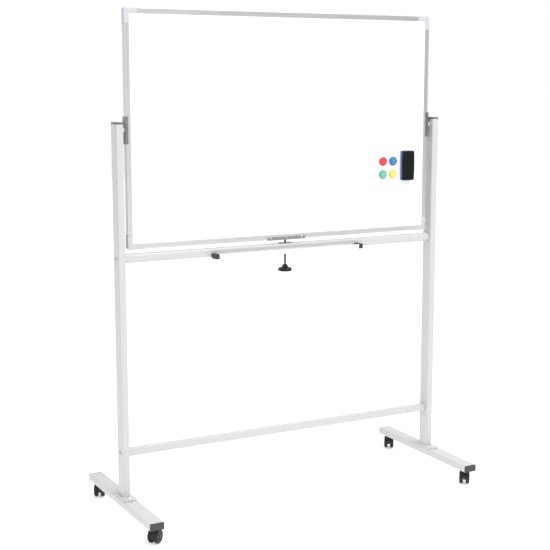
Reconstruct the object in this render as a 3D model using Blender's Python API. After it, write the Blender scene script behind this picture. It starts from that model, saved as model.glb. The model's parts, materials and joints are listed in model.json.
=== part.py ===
"""Rolling double-sided whiteboard on a wheeled stand.

Metres, +Z up, front towards -Y. The origin is on the floor, midway between
the two uprights. Run with: blender --background --python part.py
"""

import math

import bmesh
import bpy
from mathutils import Matrix, Vector

# Running and seating gap kept between neighbouring pieces
GAP = 0.0003

# Board
BOARD_WIDTH = 1.200
BOARD_HEIGHT = 0.790
BOARD_THICKNESS = 0.020
PIVOT_HEIGHT = 1.330
FRAME_FACE = 0.018
FRAME_WALL = 0.0013
FRAME_CHAMBER = 0.0075
SHEET_THICKNESS = 0.0004
CORNER_LEG = 0.050
CORNER_RADIUS = 0.009
CORNER_INNER_RADIUS = 0.004
CORNER_PROUD = 0.0004
CORNER_TONGUE = 0.024

# Stand
SIDE_SPACE = 0.014
UPRIGHT_WIDTH = 0.025
UPRIGHT_DEPTH = 0.050
UPRIGHT_RISE = 0.027
UPRIGHT_CAP_FLANGE = 0.0065
UPRIGHT_CAP_TAB = 0.0012
UPRIGHT_CAP_TAB_WIDTH = 0.010
TUBE_WALL = 0.0015
TUBE_RADIUS = 0.003
FOOT_WIDTH = 0.050
FOOT_HEIGHT = 0.025
FOOT_LENGTH = 0.580
FOOT_CAP_FLANGE = 0.003
FOOT_CAP_PLUG = 0.012
UPRIGHT_CAP_CLEARANCE = 0.0015
BASE_PLATE_LENGTH = 0.118
BASE_PLATE_WIDTH = 0.046
BASE_PLATE_RADIUS = 0.004
BASE_PLATE_THICKNESS = 0.004
BASE_BOLT_SPACING = 0.086
BOLT_DIAMETER = 0.006
LOWER_BAR_SIZE = 0.025
LOWER_BAR_HEIGHT = 0.2385
UPPER_BAR_SIZE = 0.030
UPPER_BAR_RADIUS = 0.008

# Pivots at the board's sides
PIN_DIAMETER = 0.010
PIN_HEAD_DIAMETER = 0.014
PIN_REACH = 0.012
BUSH_DIAMETER = 0.020
BUSH_SLEEVE_DIAMETER = 0.016
BUSH_SLEEVE_LENGTH = 0.010
BRACKET_LENGTH = 0.090
BRACKET_THICKNESS = 0.002
BRACKET_LEG = 0.008
BRACKET_SCREW_SPACING = 0.068
SCREW_DIAMETER = 0.004

# Pen tray
TRAY_LENGTH = 0.563
TRAY_DEPTH = 0.033
TRAY_SHEET = 0.0012
TRAY_DROP = 0.0175
TRAY_BACK_RISE = 0.0155
TRAY_LIP_RISE = 0.0155
TRAY_BEND = 0.005
TRAY_CAP_THICKNESS = 0.015
TRAY_CAP_TONGUE = 0.010
TRAY_CAP_BORDER = 0.001

# Board clamp under the bottom rail, in the room above the upper crossbar
CLAMP_ROOM = 0.0145
CLAMP_LENGTH = 0.150
CLAMP_SHEET = 0.0015
CLAMP_LIP = 0.0096
CLAMP_SHOULDER = 0.0043
CLAMP_HOOK_LENGTH = 0.018
CLAMP_WINDOW = 0.010
CLAMP_NOTCH = 0.012
ROD_DIAMETER = 0.008
ROD_NECK_DIAMETER = 0.006
ROD_INSERT = 0.0205
NUT_WIDTH = 0.013
NUT_HEIGHT = 0.0065
KNOB_DIAMETER = 0.050
KNOB_DISC = 0.015
KNOB_DROP = 0.047
KNOB_CONE = 0.010
KNOB_CONE_BASE = 0.031
KNOB_EDGE = 0.003
KNOB_LOBES = 7
KNOB_LOBE_DEPTH = 0.0014

# Magnets and eraser kept on the front sheet
MAGNET_DIAMETER = 0.032
MAGNET_THICKNESS = 0.008
MAGNET_EDGE = 0.002
MAGNETS_FROM_SIDE = 0.174
MAGNETS_FROM_BOTTOM = 0.239
MAGNET_SPACING_X = 0.044
MAGNET_SPACING_Z = 0.048
ERASER_WIDTH = 0.051
ERASER_LENGTH = 0.109
ERASER_FELT = 0.011
ERASER_SHELL = 0.013
ERASER_RADIUS = 0.004
ERASER_BOW = 0.0015
ERASER_FROM_SIDE = 0.0935
ERASER_FROM_BOTTOM = 0.2455

# Casters
WHEEL_DIAMETER = 0.050
WHEEL_WIDTH = 0.0145
WHEEL_CLEARANCE = 0.0006
WHEEL_BORE_DEPTH = 0.0113
WHEEL_EDGE = 0.0028
CASTER_WEB = 0.009
CASTER_WEB_INSET = 0.003
CASTER_TRAIL = 0.012
CASTER_AXLE_DIAMETER = 0.007
CASTER_PIN_DIAMETER = 0.005
CASTER_PIN_LENGTH = 0.018
CASTER_THREAD_DIAMETER = 0.008
CASTER_THREAD_LENGTH = 0.014
CASTER_FLANGE_DIAMETER = 0.018
CASTER_FLANGE = 0.0027
CASTER_BOSS_DIAMETER = 0.022
CASTER_BOSS = 0.0035
CASTER_HOOD_WIDTH = 0.022
CASTER_HOOD_WALL = 0.002
CASTER_HOOD_ARC = (20, 140)
CASTER_SPINE_ARC = (24, 136)
CASTER_SPINE = 0.005
CASTER_SPACING = 0.510

# Direction in which each caster trails, in degrees from +X
CASTER_TURNS = {
    "front_left": 40.0,
    "front_right": 54.0,
    "back_left": 62.0,
    "back_right": 54.0,
}

# Places worked out from the sizes above
upright_x = BOARD_WIDTH / 2 + SIDE_SPACE + UPRIGHT_WIDTH / 2
foot_bottom = WHEEL_DIAMETER + CASTER_BOSS + CASTER_FLANGE + 4 * GAP
foot_middle = foot_bottom + FOOT_HEIGHT / 2
foot_top = foot_bottom + FOOT_HEIGHT
plate_bottom = foot_top + GAP
upright_bottom = plate_bottom + BASE_PLATE_THICKNESS + GAP
upright_top = PIVOT_HEIGHT + UPRIGHT_RISE - UPRIGHT_CAP_FLANGE - GAP
cap_bottom = upright_top + GAP
cap_plug = cap_bottom - PIVOT_HEIGHT - BUSH_SLEEVE_DIAMETER / 2 - UPRIGHT_CAP_CLEARANCE
cap_tab_drop = cap_bottom - PIVOT_HEIGHT - BUSH_DIAMETER / 2 - UPRIGHT_CAP_CLEARANCE
bar_length = 2 * (BOARD_WIDTH / 2 + SIDE_SPACE - GAP)
slot_width = BOARD_THICKNESS - 2 * FRAME_WALL
core_thickness = slot_width - 2 * SHEET_THICKNESS - 4 * GAP
sheet_face = core_thickness / 2 + GAP + SHEET_THICKNESS
core_width = BOARD_WIDTH - 2 * (FRAME_CHAMBER + GAP)
core_height = BOARD_HEIGHT - 2 * (FRAME_CHAMBER + GAP)
board_bottom = PIVOT_HEIGHT - BOARD_HEIGHT / 2
upper_bar_height = board_bottom - CLAMP_ROOM - UPPER_BAR_SIZE / 2
bar_bottom = upper_bar_height - UPPER_BAR_SIZE / 2
bar_front = -UPPER_BAR_SIZE / 2
tray_bottom = upper_bar_height - TRAY_DROP
knob_bottom = bar_bottom - KNOB_DROP - KNOB_CONE - KNOB_DISC
rod_bottom = bar_bottom - KNOB_DROP - ROD_INSERT
magnets_x = BOARD_WIDTH / 2 - MAGNETS_FROM_SIDE
magnets_z = MAGNETS_FROM_BOTTOM - BOARD_HEIGHT / 2
eraser_x = BOARD_WIDTH / 2 - ERASER_FROM_SIDE
eraser_z = ERASER_FROM_BOTTOM - BOARD_HEIGHT / 2


# Shared tools

def remove_everything():
    for item in list(bpy.data.objects):
        bpy.data.objects.remove(item, do_unlink=True)


def make_material(name, colour, roughness, metallic=0.0):
    """Principled material with a plain colour."""
    material = bpy.data.materials.new(name)
    material.use_nodes = True
    shader = material.node_tree.nodes["Principled BSDF"]
    shader.inputs["Base Color"].default_value = (*colour, 1.0)
    shader.inputs["Roughness"].default_value = roughness
    shader.inputs["Metallic"].default_value = metallic
    return material


def place(name, mesh, material, location=(0, 0, 0), rotation=(0, 0, 0), parent=None):
    """Put a mesh into the scene as a named object."""
    mesh.materials.clear()
    mesh.materials.append(material)
    item = bpy.data.objects.new(name, mesh)
    bpy.context.collection.objects.link(item)
    item.parent = parent
    item.location = location
    item.rotation_euler = rotation
    return item


def make_empty(name, location, turn=0.0, parent=None):
    """Empty on a joint's axis, turned about Z."""
    empty = bpy.data.objects.new(name, None)
    bpy.context.collection.objects.link(empty)
    empty.parent = parent
    empty.location = location
    empty.rotation_euler = (0, 0, turn)
    empty.empty_display_size = 0.03
    return empty


def finish_mesh(name, bm, smooth_angle=35):
    """Turn a bmesh into a mesh with its faces outwards and smooth rounds."""
    bmesh.ops.remove_doubles(bm, verts=bm.verts, dist=1e-6)
    bmesh.ops.recalc_face_normals(bm, faces=bm.faces)
    mesh = bpy.data.meshes.new(name)
    bm.to_mesh(mesh)
    bm.free()
    mesh.shade_smooth()
    mesh.set_sharp_from_angle(angle=math.radians(smooth_angle))
    return mesh


def rounded_rectangle(width, height, radius, steps=3):
    """Points of a rounded rectangle about the origin, anticlockwise."""
    points = []
    for corner in range(4):
        side_x = 1 if corner in (0, 3) else -1
        side_y = 1 if corner in (0, 1) else -1
        centre = Vector((side_x * (width / 2 - radius), side_y * (height / 2 - radius)))
        for step in range(steps + 1):
            angle = math.pi / 2 * (corner + step / steps)
            points.append(centre + radius * Vector((math.cos(angle), math.sin(angle))))
    return points


def circle(diameter, steps=24, centre=(0, 0)):
    """Points of a circle, anticlockwise."""
    return [
        Vector(centre) + diameter / 2 * Vector((math.cos(turn), math.sin(turn)))
        for turn in (2 * math.pi * step / steps for step in range(steps))
    ]


def extrude_outline(name, outer, length, holes=()):
    """Solid with the given outline and holes, from z = 0 to z = length."""
    bm = bmesh.new()
    edges = []
    for loop in (outer, *holes):
        verts = [bm.verts.new((point[0], point[1], 0)) for point in loop]
        edges += [bm.edges.new((verts[i - 1], verts[i])) for i in range(len(verts))]
    bmesh.ops.triangle_fill(bm, use_beauty=True, use_dissolve=False, edges=edges)
    top = bmesh.ops.extrude_face_region(bm, geom=bm.faces[:], use_keep_orig=True)
    moved = [item for item in top["geom"] if isinstance(item, bmesh.types.BMVert)]
    bmesh.ops.translate(bm, verts=moved, vec=(0, 0, length))
    return finish_mesh(name, bm)


def turn_profile(name, profile, steps=24, wave=None):
    """Solid turned about Z from (radius, z) points.

    A profile that starts and ends at radius 0 is capped at the axis, and any
    other profile is closed into a ring. wave(radius, angle) may swell it.
    """
    bm = bmesh.new()
    rings = []
    for radius, height in profile:
        if radius == 0:
            rings.append([bm.verts.new((0, 0, height))] * steps)
            continue
        ring = []
        for step in range(steps):
            angle = 2 * math.pi * step / steps
            reach = wave(radius, angle) if wave else radius
            ring.append(bm.verts.new((reach * math.cos(angle), reach * math.sin(angle), height)))
        rings.append(ring)
    pairs = list(zip(rings, rings[1:]))
    if profile[0][0] > 0:
        pairs.append((rings[-1], rings[0]))
    for low, high in pairs:
        for step in range(steps):
            after = (step + 1) % steps
            corners = [low[step], low[after], high[after], high[step]]
            corners = [corner for i, corner in enumerate(corners) if corner not in corners[:i]]
            if len(corners) > 2:
                bm.faces.new(corners)
    return finish_mesh(name, bm)


def box_mesh(name, low, high):
    """Box between two corners."""
    bm = bmesh.new()
    bmesh.ops.create_cube(bm, size=1)
    size = Vector(high) - Vector(low)
    bmesh.ops.scale(bm, verts=bm.verts, vec=size)
    bmesh.ops.translate(bm, verts=bm.verts, vec=Vector(low) + size / 2)
    return finish_mesh(name, bm)


def rod_mesh(name, diameter, start, axis, length, steps=16):
    """Plain round bar that starts at a point and runs along an axis."""
    mesh = extrude_outline(name, circle(diameter, steps), length)
    turn = Vector((0, 0, 1)).rotation_difference(Vector(axis)).to_matrix().to_4x4()
    mesh.transform(Matrix.Translation(start) @ turn)
    return mesh


def combine(mesh, steps):
    """Apply (operation, other mesh) Boolean steps to a mesh, in order."""
    base = bpy.data.objects.new(mesh.name, mesh)
    bpy.context.collection.objects.link(base)
    others = []
    for operation, other in steps:
        item = bpy.data.objects.new(mesh.name + "_tool", other)
        bpy.context.collection.objects.link(item)
        modifier = base.modifiers.new(operation.title(), "BOOLEAN")
        modifier.operation = operation
        modifier.solver = "EXACT"
        modifier.object = item
        others.append(item)
    bpy.context.view_layer.update()
    evaluated = base.evaluated_get(bpy.context.evaluated_depsgraph_get())
    result = bpy.data.meshes.new_from_object(evaluated)
    for item in (base, *others):
        bpy.data.objects.remove(item, do_unlink=True)
    result.shade_smooth()
    result.set_sharp_from_angle(angle=math.radians(35))
    return result


def box_tube(name, width, depth, length, radius=TUBE_RADIUS, steps=3):
    """Straight tube of rounded rectangular section along Z."""
    inner_radius = max(radius - TUBE_WALL, TUBE_WALL / 3)
    outer = rounded_rectangle(width, depth, radius, steps)
    inner = rounded_rectangle(width - 2 * TUBE_WALL, depth - 2 * TUBE_WALL, inner_radius, steps)
    return extrude_outline(name, outer, length, [inner])


def tube_cap(name, width, depth, flange, plug):
    """Push-in end cap: a domed flange below z = flange, and a plug above 0."""
    bm = bmesh.new()
    plug_width = width - 2 * (TUBE_WALL + GAP)
    plug_depth = depth - 2 * (TUBE_WALL + GAP)
    ease = flange / 4
    sections = [
        (width - 2 * ease, depth - 2 * ease, -flange),
        (width, depth, -flange + ease),
        (width, depth, 0),
        (plug_width, plug_depth, 0),
        (plug_width, plug_depth, plug),
    ]
    loops = []
    for across, along, height in sections:
        outline = rounded_rectangle(across, along, TUBE_RADIUS * across / width)
        loops.append([bm.verts.new((point[0], point[1], height)) for point in outline])
    for low, high in zip(loops, loops[1:]):
        for i in range(len(low)):
            bm.faces.new((low[i - 1], low[i], high[i], high[i - 1]))
    bm.faces.new(loops[0])
    bm.faces.new(loops[-1])
    return finish_mesh(name, bm)


# Stand

def build_upright(side, name, material):
    """Rectangular post with its pivot hole and the crossbar bolt holes."""
    mesh = box_tube(name, UPRIGHT_WIDTH, UPRIGHT_DEPTH, upright_top - upright_bottom)
    hole = BUSH_SLEEVE_DIAMETER + 2 * GAP
    start = (-side * UPRIGHT_WIDTH, 0, PIVOT_HEIGHT - upright_bottom)
    steps = [("DIFFERENCE", rod_mesh("pivot_hole", hole, start, (side, 0, 0), UPRIGHT_WIDTH, 24))]
    for height in (LOWER_BAR_HEIGHT, upper_bar_height):
        start = (-UPRIGHT_WIDTH, 0, height - upright_bottom)
        hole = BOLT_DIAMETER + 2 * GAP
        steps.append(("DIFFERENCE", rod_mesh("bolt_hole", hole, start, (1, 0, 0), 2 * UPRIGHT_WIDTH)))
    place(name, combine(mesh, steps), material, (side * upright_x, 0, upright_bottom))


def build_foot(side, name, material):
    """Floor tube with two bolt holes on top and two caster holes below."""
    length = FOOT_LENGTH - 2 * (FOOT_CAP_FLANGE + GAP)
    mesh = box_tube(name, FOOT_WIDTH, FOOT_HEIGHT, length)
    mesh.transform(Matrix.Translation((0, -length / 2, 0)) @ Matrix.Rotation(-math.pi / 2, 4, "X"))
    steps = []
    for end in (-1, 1):
        bolt = (0, end * BASE_BOLT_SPACING / 2, 0)
        hole = BOLT_DIAMETER + 2 * GAP
        steps.append(("DIFFERENCE", rod_mesh("bolt_hole", hole, bolt, (0, 0, 1), FOOT_HEIGHT)))
        stem = (0, end * CASTER_SPACING / 2, -FOOT_HEIGHT)
        hole = CASTER_THREAD_DIAMETER + 2 * GAP
        steps.append(("DIFFERENCE", rod_mesh("caster_hole", hole, stem, (0, 0, 1), FOOT_HEIGHT)))
    place(name, combine(mesh, steps), material, (side * upright_x, 0, foot_middle))


def build_base_plate(side, name, material):
    """Plate under the upright, bolted to the foot in front and behind."""
    holes = [
        circle(BOLT_DIAMETER + 2 * GAP, 16, (0, end * BASE_BOLT_SPACING / 2))
        for end in (-1, 1)
    ]
    outline = rounded_rectangle(BASE_PLATE_WIDTH, BASE_PLATE_LENGTH, BASE_PLATE_RADIUS)
    mesh = extrude_outline(name, outline, BASE_PLATE_THICKNESS, holes)
    place(name, mesh, material, (side * upright_x, 0, plate_bottom))


def build_stand(finishes):
    """Uprights, feet, base plates, end caps and the two crossbars."""
    for side, word in ((-1, "left"), (1, "right")):
        build_upright(side, f"upright_{word}", finishes["white_paint"])
        build_foot(side, f"foot_{word}", finishes["white_paint"])
        build_base_plate(side, f"base_plate_{word}", finishes["white_paint"])
        place(f"upright_cap_{word}", upright_cap(-side), finishes["dark_plastic"],
              (side * upright_x, 0, cap_bottom), (math.pi, 0, 0))
        for end, where in ((-1, "front"), (1, "back")):
            cap = tube_cap("foot_cap", FOOT_WIDTH, FOOT_HEIGHT, FOOT_CAP_FLANGE, FOOT_CAP_PLUG)
            middle = (side * upright_x, end * (FOOT_LENGTH / 2 - FOOT_CAP_FLANGE), foot_middle)
            place(f"foot_cap_{where}_{word}", cap, finishes["dark_plastic"],
                  middle, (end * math.pi / 2, 0, 0))
    lower = box_tube("crossbar_lower", LOWER_BAR_SIZE, LOWER_BAR_SIZE, bar_length)
    place("crossbar_lower", lower, finishes["white_paint"],
          (-bar_length / 2, 0, LOWER_BAR_HEIGHT), (0, math.pi / 2, 0))
    build_upper_bar(finishes["white_paint"])


def upright_cap(inner):
    """Cap with a tab down the upright's inner face, on the side given by inner."""
    cap = tube_cap("upright_cap", UPRIGHT_WIDTH, UPRIGHT_DEPTH, UPRIGHT_CAP_FLANGE, cap_plug)
    near = UPRIGHT_WIDTH / 2 + GAP
    far = near + UPRIGHT_CAP_TAB
    root = UPRIGHT_WIDTH / 2 - UPRIGHT_CAP_TAB
    top = -UPRIGHT_CAP_FLANGE / 2
    outline = [
        (root, top), (far, top), (far, cap_tab_drop), (near, cap_tab_drop), (near, -GAP), (root, -GAP),
    ]
    outline = [(inner * point[0], point[1]) for point in outline]
    tab = extrude_outline("tab", outline, UPRIGHT_CAP_TAB_WIDTH)
    centred = Matrix.Translation((0, UPRIGHT_CAP_TAB_WIDTH / 2, 0))
    tab.transform(centred @ Matrix.Rotation(math.pi / 2, 4, "X"))
    return combine(cap, [("UNION", tab)])


def build_upper_bar(material):
    """Well rounded crossbar with the clamp rod's hole through its middle."""
    mesh = box_tube("crossbar_upper", UPPER_BAR_SIZE, UPPER_BAR_SIZE, bar_length, UPPER_BAR_RADIUS, 4)
    mesh.transform(Matrix.Translation((-bar_length / 2, 0, 0)) @ Matrix.Rotation(math.pi / 2, 4, "Y"))
    below = (0, 0, -UPPER_BAR_SIZE)
    hole = rod_mesh("rod_hole", ROD_DIAMETER + 2 * GAP, below, (0, 0, 1), 2 * UPPER_BAR_SIZE)
    place("crossbar_upper", combine(mesh, [("DIFFERENCE", hole)]), material, (0, 0, upper_bar_height))


# Pen tray

def tray_section():
    """Outline of the folded tray as (forward, up) from the crossbar's face."""
    hem = 2.5 * TRAY_SHEET
    steps = 4
    angles = [-math.pi / 2 + math.pi / 2 * step / steps for step in range(steps + 1)]

    def bend(radius):
        return [
            (TRAY_DEPTH - TRAY_BEND + radius * math.cos(angle), TRAY_BEND + radius * math.sin(angle))
            for angle in angles
        ]

    return [
        (GAP, 0),
        *bend(TRAY_BEND),
        (TRAY_DEPTH, TRAY_LIP_RISE),
        (TRAY_DEPTH - hem, TRAY_LIP_RISE),
        (TRAY_DEPTH - hem, TRAY_LIP_RISE - TRAY_SHEET),
        (TRAY_DEPTH - TRAY_SHEET, TRAY_LIP_RISE - TRAY_SHEET),
        *reversed(bend(TRAY_BEND - TRAY_SHEET)),
        (GAP + TRAY_SHEET, TRAY_SHEET),
        (GAP + TRAY_SHEET, TRAY_BACK_RISE),
        (GAP, TRAY_BACK_RISE),
    ]


def build_tray(finishes):
    """Folded steel tray and its two plastic end caps."""
    mesh = extrude_outline("pen_tray", tray_section(), TRAY_LENGTH)
    upright_section = Matrix(((0, 0, -1, 0), (-1, 0, 0, 0), (0, 1, 0, 0), (0, 0, 0, 1)))
    mesh.transform(upright_section)
    place("pen_tray", mesh, finishes["white_paint"], (TRAY_LENGTH / 2, bar_front, tray_bottom))
    depth = TRAY_DEPTH + TRAY_CAP_BORDER - GAP
    height = TRAY_BACK_RISE + 2 * TRAY_CAP_BORDER
    outline = rounded_rectangle(depth, height, TRAY_CAP_BORDER)
    outline = [(point[0] + GAP + depth / 2, point[1] + TRAY_BACK_RISE / 2) for point in outline]
    tongue_low = (GAP + TRAY_SHEET + GAP, TRAY_SHEET + GAP)
    tongue_high = (TRAY_DEPTH - TRAY_BEND, TRAY_LIP_RISE - 2 * TRAY_SHEET)
    for side, word in ((-1, "left"), (1, "right")):
        cap = extrude_outline("tray_cap", outline, TRAY_CAP_THICKNESS)
        back = -TRAY_CAP_TONGUE if side < 0 else 0
        front = back + TRAY_CAP_TONGUE + TRAY_CAP_THICKNESS
        tongue = box_mesh("tongue", (*tongue_low, back), (*tongue_high, front))
        cap = combine(cap, [("UNION", tongue)])
        cap.transform(upright_section)
        start = side * (TRAY_LENGTH / 2 + GAP) + (TRAY_CAP_THICKNESS if side > 0 else 0)
        place(f"tray_cap_{word}", cap, finishes["dark_plastic"], (start, bar_front, tray_bottom))


# Board

def rail_section():
    """Rail outline and chamber, as (inward, across) from the outer face."""
    half = BOARD_THICKNESS / 2
    slot = slot_width / 2
    ease = FRAME_WALL / 2
    outer = [
        (0, -half + ease), (ease, -half), (FRAME_FACE, -half), (FRAME_FACE, -slot),
        (FRAME_CHAMBER, -slot), (FRAME_CHAMBER, slot), (FRAME_FACE, slot), (FRAME_FACE, half),
        (ease, half), (0, half - ease),
    ]
    chamber = [
        (FRAME_WALL, -slot), (FRAME_CHAMBER - FRAME_WALL, -slot),
        (FRAME_CHAMBER - FRAME_WALL, slot), (FRAME_WALL, slot),
    ]
    return outer, chamber


def build_rail(name, material, length, edge, pivot, with_pin_hole):
    """One frame rail. edge turns it about Y: 0 is the board's right side."""
    outer, chamber = rail_section()
    mesh = extrude_outline(name, outer, length, [chamber])
    mesh.transform(Matrix.Translation((0, 0, -length / 2)) @ Matrix.Rotation(math.pi, 4, "Z"))
    if with_pin_hole:
        hole = PIN_DIAMETER + 2 * GAP
        cutter = rod_mesh("pin_hole", hole, (-FRAME_CHAMBER / 2, 0, 0), (1, 0, 0), FRAME_CHAMBER)
        mesh = combine(mesh, [("DIFFERENCE", cutter)])
    reach = (BOARD_WIDTH if edge in (0, 2) else BOARD_HEIGHT) / 2
    turn = -edge * math.pi / 2
    place(name, mesh, material, (reach * math.cos(turn), 0, -reach * math.sin(turn)), (0, turn, 0), pivot)


def corner_mesh():
    """Plastic corner with two legs, seen from the front: the top right one.

    Its own origin is the board's outer corner, with the legs towards -X and -Z.
    """
    half = BOARD_THICKNESS / 2 + CORNER_PROUD
    face = FRAME_FACE + CORNER_PROUD
    proud = CORNER_PROUD
    outline = [(-CORNER_LEG, proud)]
    outer_steps = 6
    for step in range(outer_steps + 1):
        angle = math.pi / 2 * (1 - step / outer_steps)
        outline.append((
            proud + CORNER_RADIUS * (math.cos(angle) - 1),
            proud + CORNER_RADIUS * (math.sin(angle) - 1),
        ))
    outline += [(proud, -CORNER_LEG), (-face, -CORNER_LEG)]
    inner_steps = 4
    for step in range(inner_steps + 1):
        angle = math.pi / 2 * step / inner_steps
        outline.append((
            -face - CORNER_INNER_RADIUS * (1 - math.cos(angle)),
            -face - CORNER_INNER_RADIUS * (1 - math.sin(angle)),
        ))
    outline += [(-CORNER_LEG, -face)]
    mesh = extrude_outline("corner", outline, 2 * half)
    mesh.transform(Matrix.Translation((0, half, 0)) @ Matrix.Rotation(math.pi / 2, 4, "X"))
    slot = slot_width / 2
    beyond = 2 * CORNER_LEG
    pocket = box_mesh("pocket", (-beyond, -slot, -beyond), (-FRAME_CHAMBER, slot, -FRAME_CHAMBER))
    near = FRAME_WALL + GAP
    far = FRAME_CHAMBER - FRAME_WALL - GAP
    broad = slot - GAP
    reach = CORNER_LEG + CORNER_TONGUE
    root = CORNER_LEG - CORNER_TONGUE
    level = box_mesh("tongue", (-reach, -broad, -far), (-root, broad, -near))
    upright = box_mesh("tongue", (-far, -broad, -reach), (-near, broad, -root))
    return combine(mesh, [("DIFFERENCE", pocket), ("UNION", level), ("UNION", upright)])


def build_board(finishes, pivot):
    """Core, two steel sheets, four rails and four corners, about the pivot axis."""
    half = Vector((core_width, core_thickness, core_height)) / 2
    place("board_core", box_mesh("board_core", -half, half), finishes["core"], parent=pivot)
    for side, word in ((-1, "front"), (1, "back")):
        inner = core_thickness / 2 + GAP
        ends = sorted((side * inner, side * (inner + SHEET_THICKNESS)))
        sheet = box_mesh("sheet", (-half.x, ends[0], -half.z), (half.x, ends[1], half.z))
        place(f"sheet_{word}", sheet, finishes["white_enamel"], parent=pivot)
    across = BOARD_WIDTH - 2 * (CORNER_LEG + GAP)
    upward = BOARD_HEIGHT - 2 * (CORNER_LEG + GAP)
    rails = (("right", upward), ("top", across), ("left", upward), ("bottom", across))
    for edge, (word, length) in enumerate(rails):
        build_rail(f"rail_{word}", finishes["aluminium"], length, edge, pivot, edge in (0, 2))
    corner = corner_mesh()
    corners = ("top_right", "top_left", "bottom_left", "bottom_right")
    signs = ((1, 1), (-1, 1), (-1, -1), (1, -1))
    for turn, (word, sign) in enumerate(zip(corners, signs)):
        where = (sign[0] * BOARD_WIDTH / 2, 0, sign[1] * BOARD_HEIGHT / 2)
        tilt = (0, -turn * math.pi / 2, 0)
        place(f"corner_{word}", corner, finishes["grey_plastic"], where, tilt, pivot)


# Pivots

def bracket_mesh():
    """Pressed channel round the board's right rail, about the rail's outer face."""
    inside = BOARD_THICKNESS / 2 + GAP
    outside = inside + BRACKET_THICKNESS
    base = GAP + BRACKET_THICKNESS
    section = [
        (-BRACKET_LEG, -outside), (base, -outside), (base, outside), (-BRACKET_LEG, outside),
        (-BRACKET_LEG, inside), (GAP, inside), (GAP, -inside), (-BRACKET_LEG, -inside),
    ]
    mesh = extrude_outline("bracket", section, BRACKET_LENGTH)
    mesh.transform(Matrix.Translation((0, 0, -BRACKET_LENGTH / 2)))
    pin_hole = rod_mesh("pin_hole", PIN_DIAMETER + 2 * GAP, (0, 0, 0), (1, 0, 0), 2 * base, 24)
    steps = [("DIFFERENCE", pin_hole)]
    for end in (-1, 1):
        centre = (0, 0, end * BRACKET_SCREW_SPACING / 2)
        hole = rod_mesh("screw_hole", SCREW_DIAMETER + 2 * GAP, centre, (1, 0, 0), 2 * base)
        steps.append(("DIFFERENCE", hole))
    return combine(mesh, steps)


def build_pivots(finishes, pivot):
    """Bracket and stub pin on each side of the board, bush in each upright."""
    head_out = -(FRAME_WALL + GAP)
    head_in = -(FRAME_CHAMBER - FRAME_WALL - GAP)
    pin_end = SIDE_SPACE + TUBE_WALL + PIN_REACH
    pin_profile = [
        (0, head_in), (PIN_HEAD_DIAMETER / 2, head_in), (PIN_HEAD_DIAMETER / 2, head_out),
        (PIN_DIAMETER / 2, head_out), (PIN_DIAMETER / 2, pin_end - GAP),
        (PIN_DIAMETER / 2 - 2 * GAP, pin_end), (0, pin_end),
    ]
    flange_start = GAP + BRACKET_THICKNESS + GAP
    sleeve_end = SIDE_SPACE + TUBE_WALL + BUSH_SLEEVE_LENGTH
    bore = PIN_DIAMETER / 2 + GAP
    bush_profile = [
        (bore, flange_start), (BUSH_DIAMETER / 2 - GAP, flange_start),
        (BUSH_DIAMETER / 2, flange_start + GAP), (BUSH_DIAMETER / 2, SIDE_SPACE - GAP),
        (BUSH_SLEEVE_DIAMETER / 2, SIDE_SPACE - GAP), (BUSH_SLEEVE_DIAMETER / 2, sleeve_end),
        (bore, sleeve_end),
    ]
    for side, word in ((-1, "left"), (1, "right")):
        face = side * BOARD_WIDTH / 2
        out = (0, side * math.pi / 2, 0)
        pin = turn_profile("pin", pin_profile)
        bush = turn_profile("bush", bush_profile)
        facing = (0, 0, 0 if side > 0 else math.pi)
        place(f"pivot_bracket_{word}", bracket_mesh(), finishes["zinc"], (face, 0, 0), facing, pivot)
        place(f"pivot_pin_{word}", pin, finishes["zinc"], (face, 0, 0), out, pivot)
        place(f"pivot_bush_{word}", bush, finishes["grey_plastic"], (face, 0, PIVOT_HEIGHT), out)


# Clamp

def clamp_channel():
    """Pressed channel that hugs the bottom rail, with hooks and a centre notch."""
    inside = BOARD_THICKNESS / 2 + CORNER_PROUD
    outside = inside + CLAMP_SHEET
    under = -CLAMP_SHEET - GAP
    section = [
        (-outside, under), (outside, under), (outside, CLAMP_LIP), (inside, CLAMP_LIP),
        (inside, -GAP), (-inside, -GAP), (-inside, CLAMP_LIP), (-outside, CLAMP_LIP),
    ]
    mesh = extrude_outline("clamp_channel", section, CLAMP_LENGTH)
    along_x = Matrix(((0, 0, 1, -CLAMP_LENGTH / 2), (1, 0, 0, 0), (0, 1, 0, 0), (0, 0, 0, 1)))
    mesh.transform(along_x)
    through = 2 * outside
    steps = []
    for side in (-1, 1):
        window = side * (CLAMP_LENGTH / 2 - CLAMP_HOOK_LENGTH + CLAMP_WINDOW / 2)
        low = (window - CLAMP_WINDOW / 2, -through, CLAMP_SHOULDER)
        high = (window + CLAMP_WINDOW / 2, through, 2 * CLAMP_LIP)
        steps.append(("DIFFERENCE", box_mesh("window", low, high)))
    notch = [
        (-CLAMP_NOTCH / 2, 2 * CLAMP_LIP), (-CLAMP_NOTCH / 2, CLAMP_LIP), (0, CLAMP_SHOULDER),
        (CLAMP_NOTCH / 2, CLAMP_LIP), (CLAMP_NOTCH / 2, 2 * CLAMP_LIP),
    ]
    wedge = extrude_outline("notch", notch, 2 * through)
    wedge.transform(Matrix.Translation((0, through, 0)) @ Matrix.Rotation(math.pi / 2, 4, "X"))
    steps.append(("DIFFERENCE", wedge))
    neck = ROD_NECK_DIAMETER + 2 * GAP
    hole = rod_mesh("neck_hole", neck, (0, 0, -CLAMP_LIP), (0, 0, 1), CLAMP_LIP * 2)
    steps.append(("DIFFERENCE", hole))
    return combine(mesh, steps)


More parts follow.
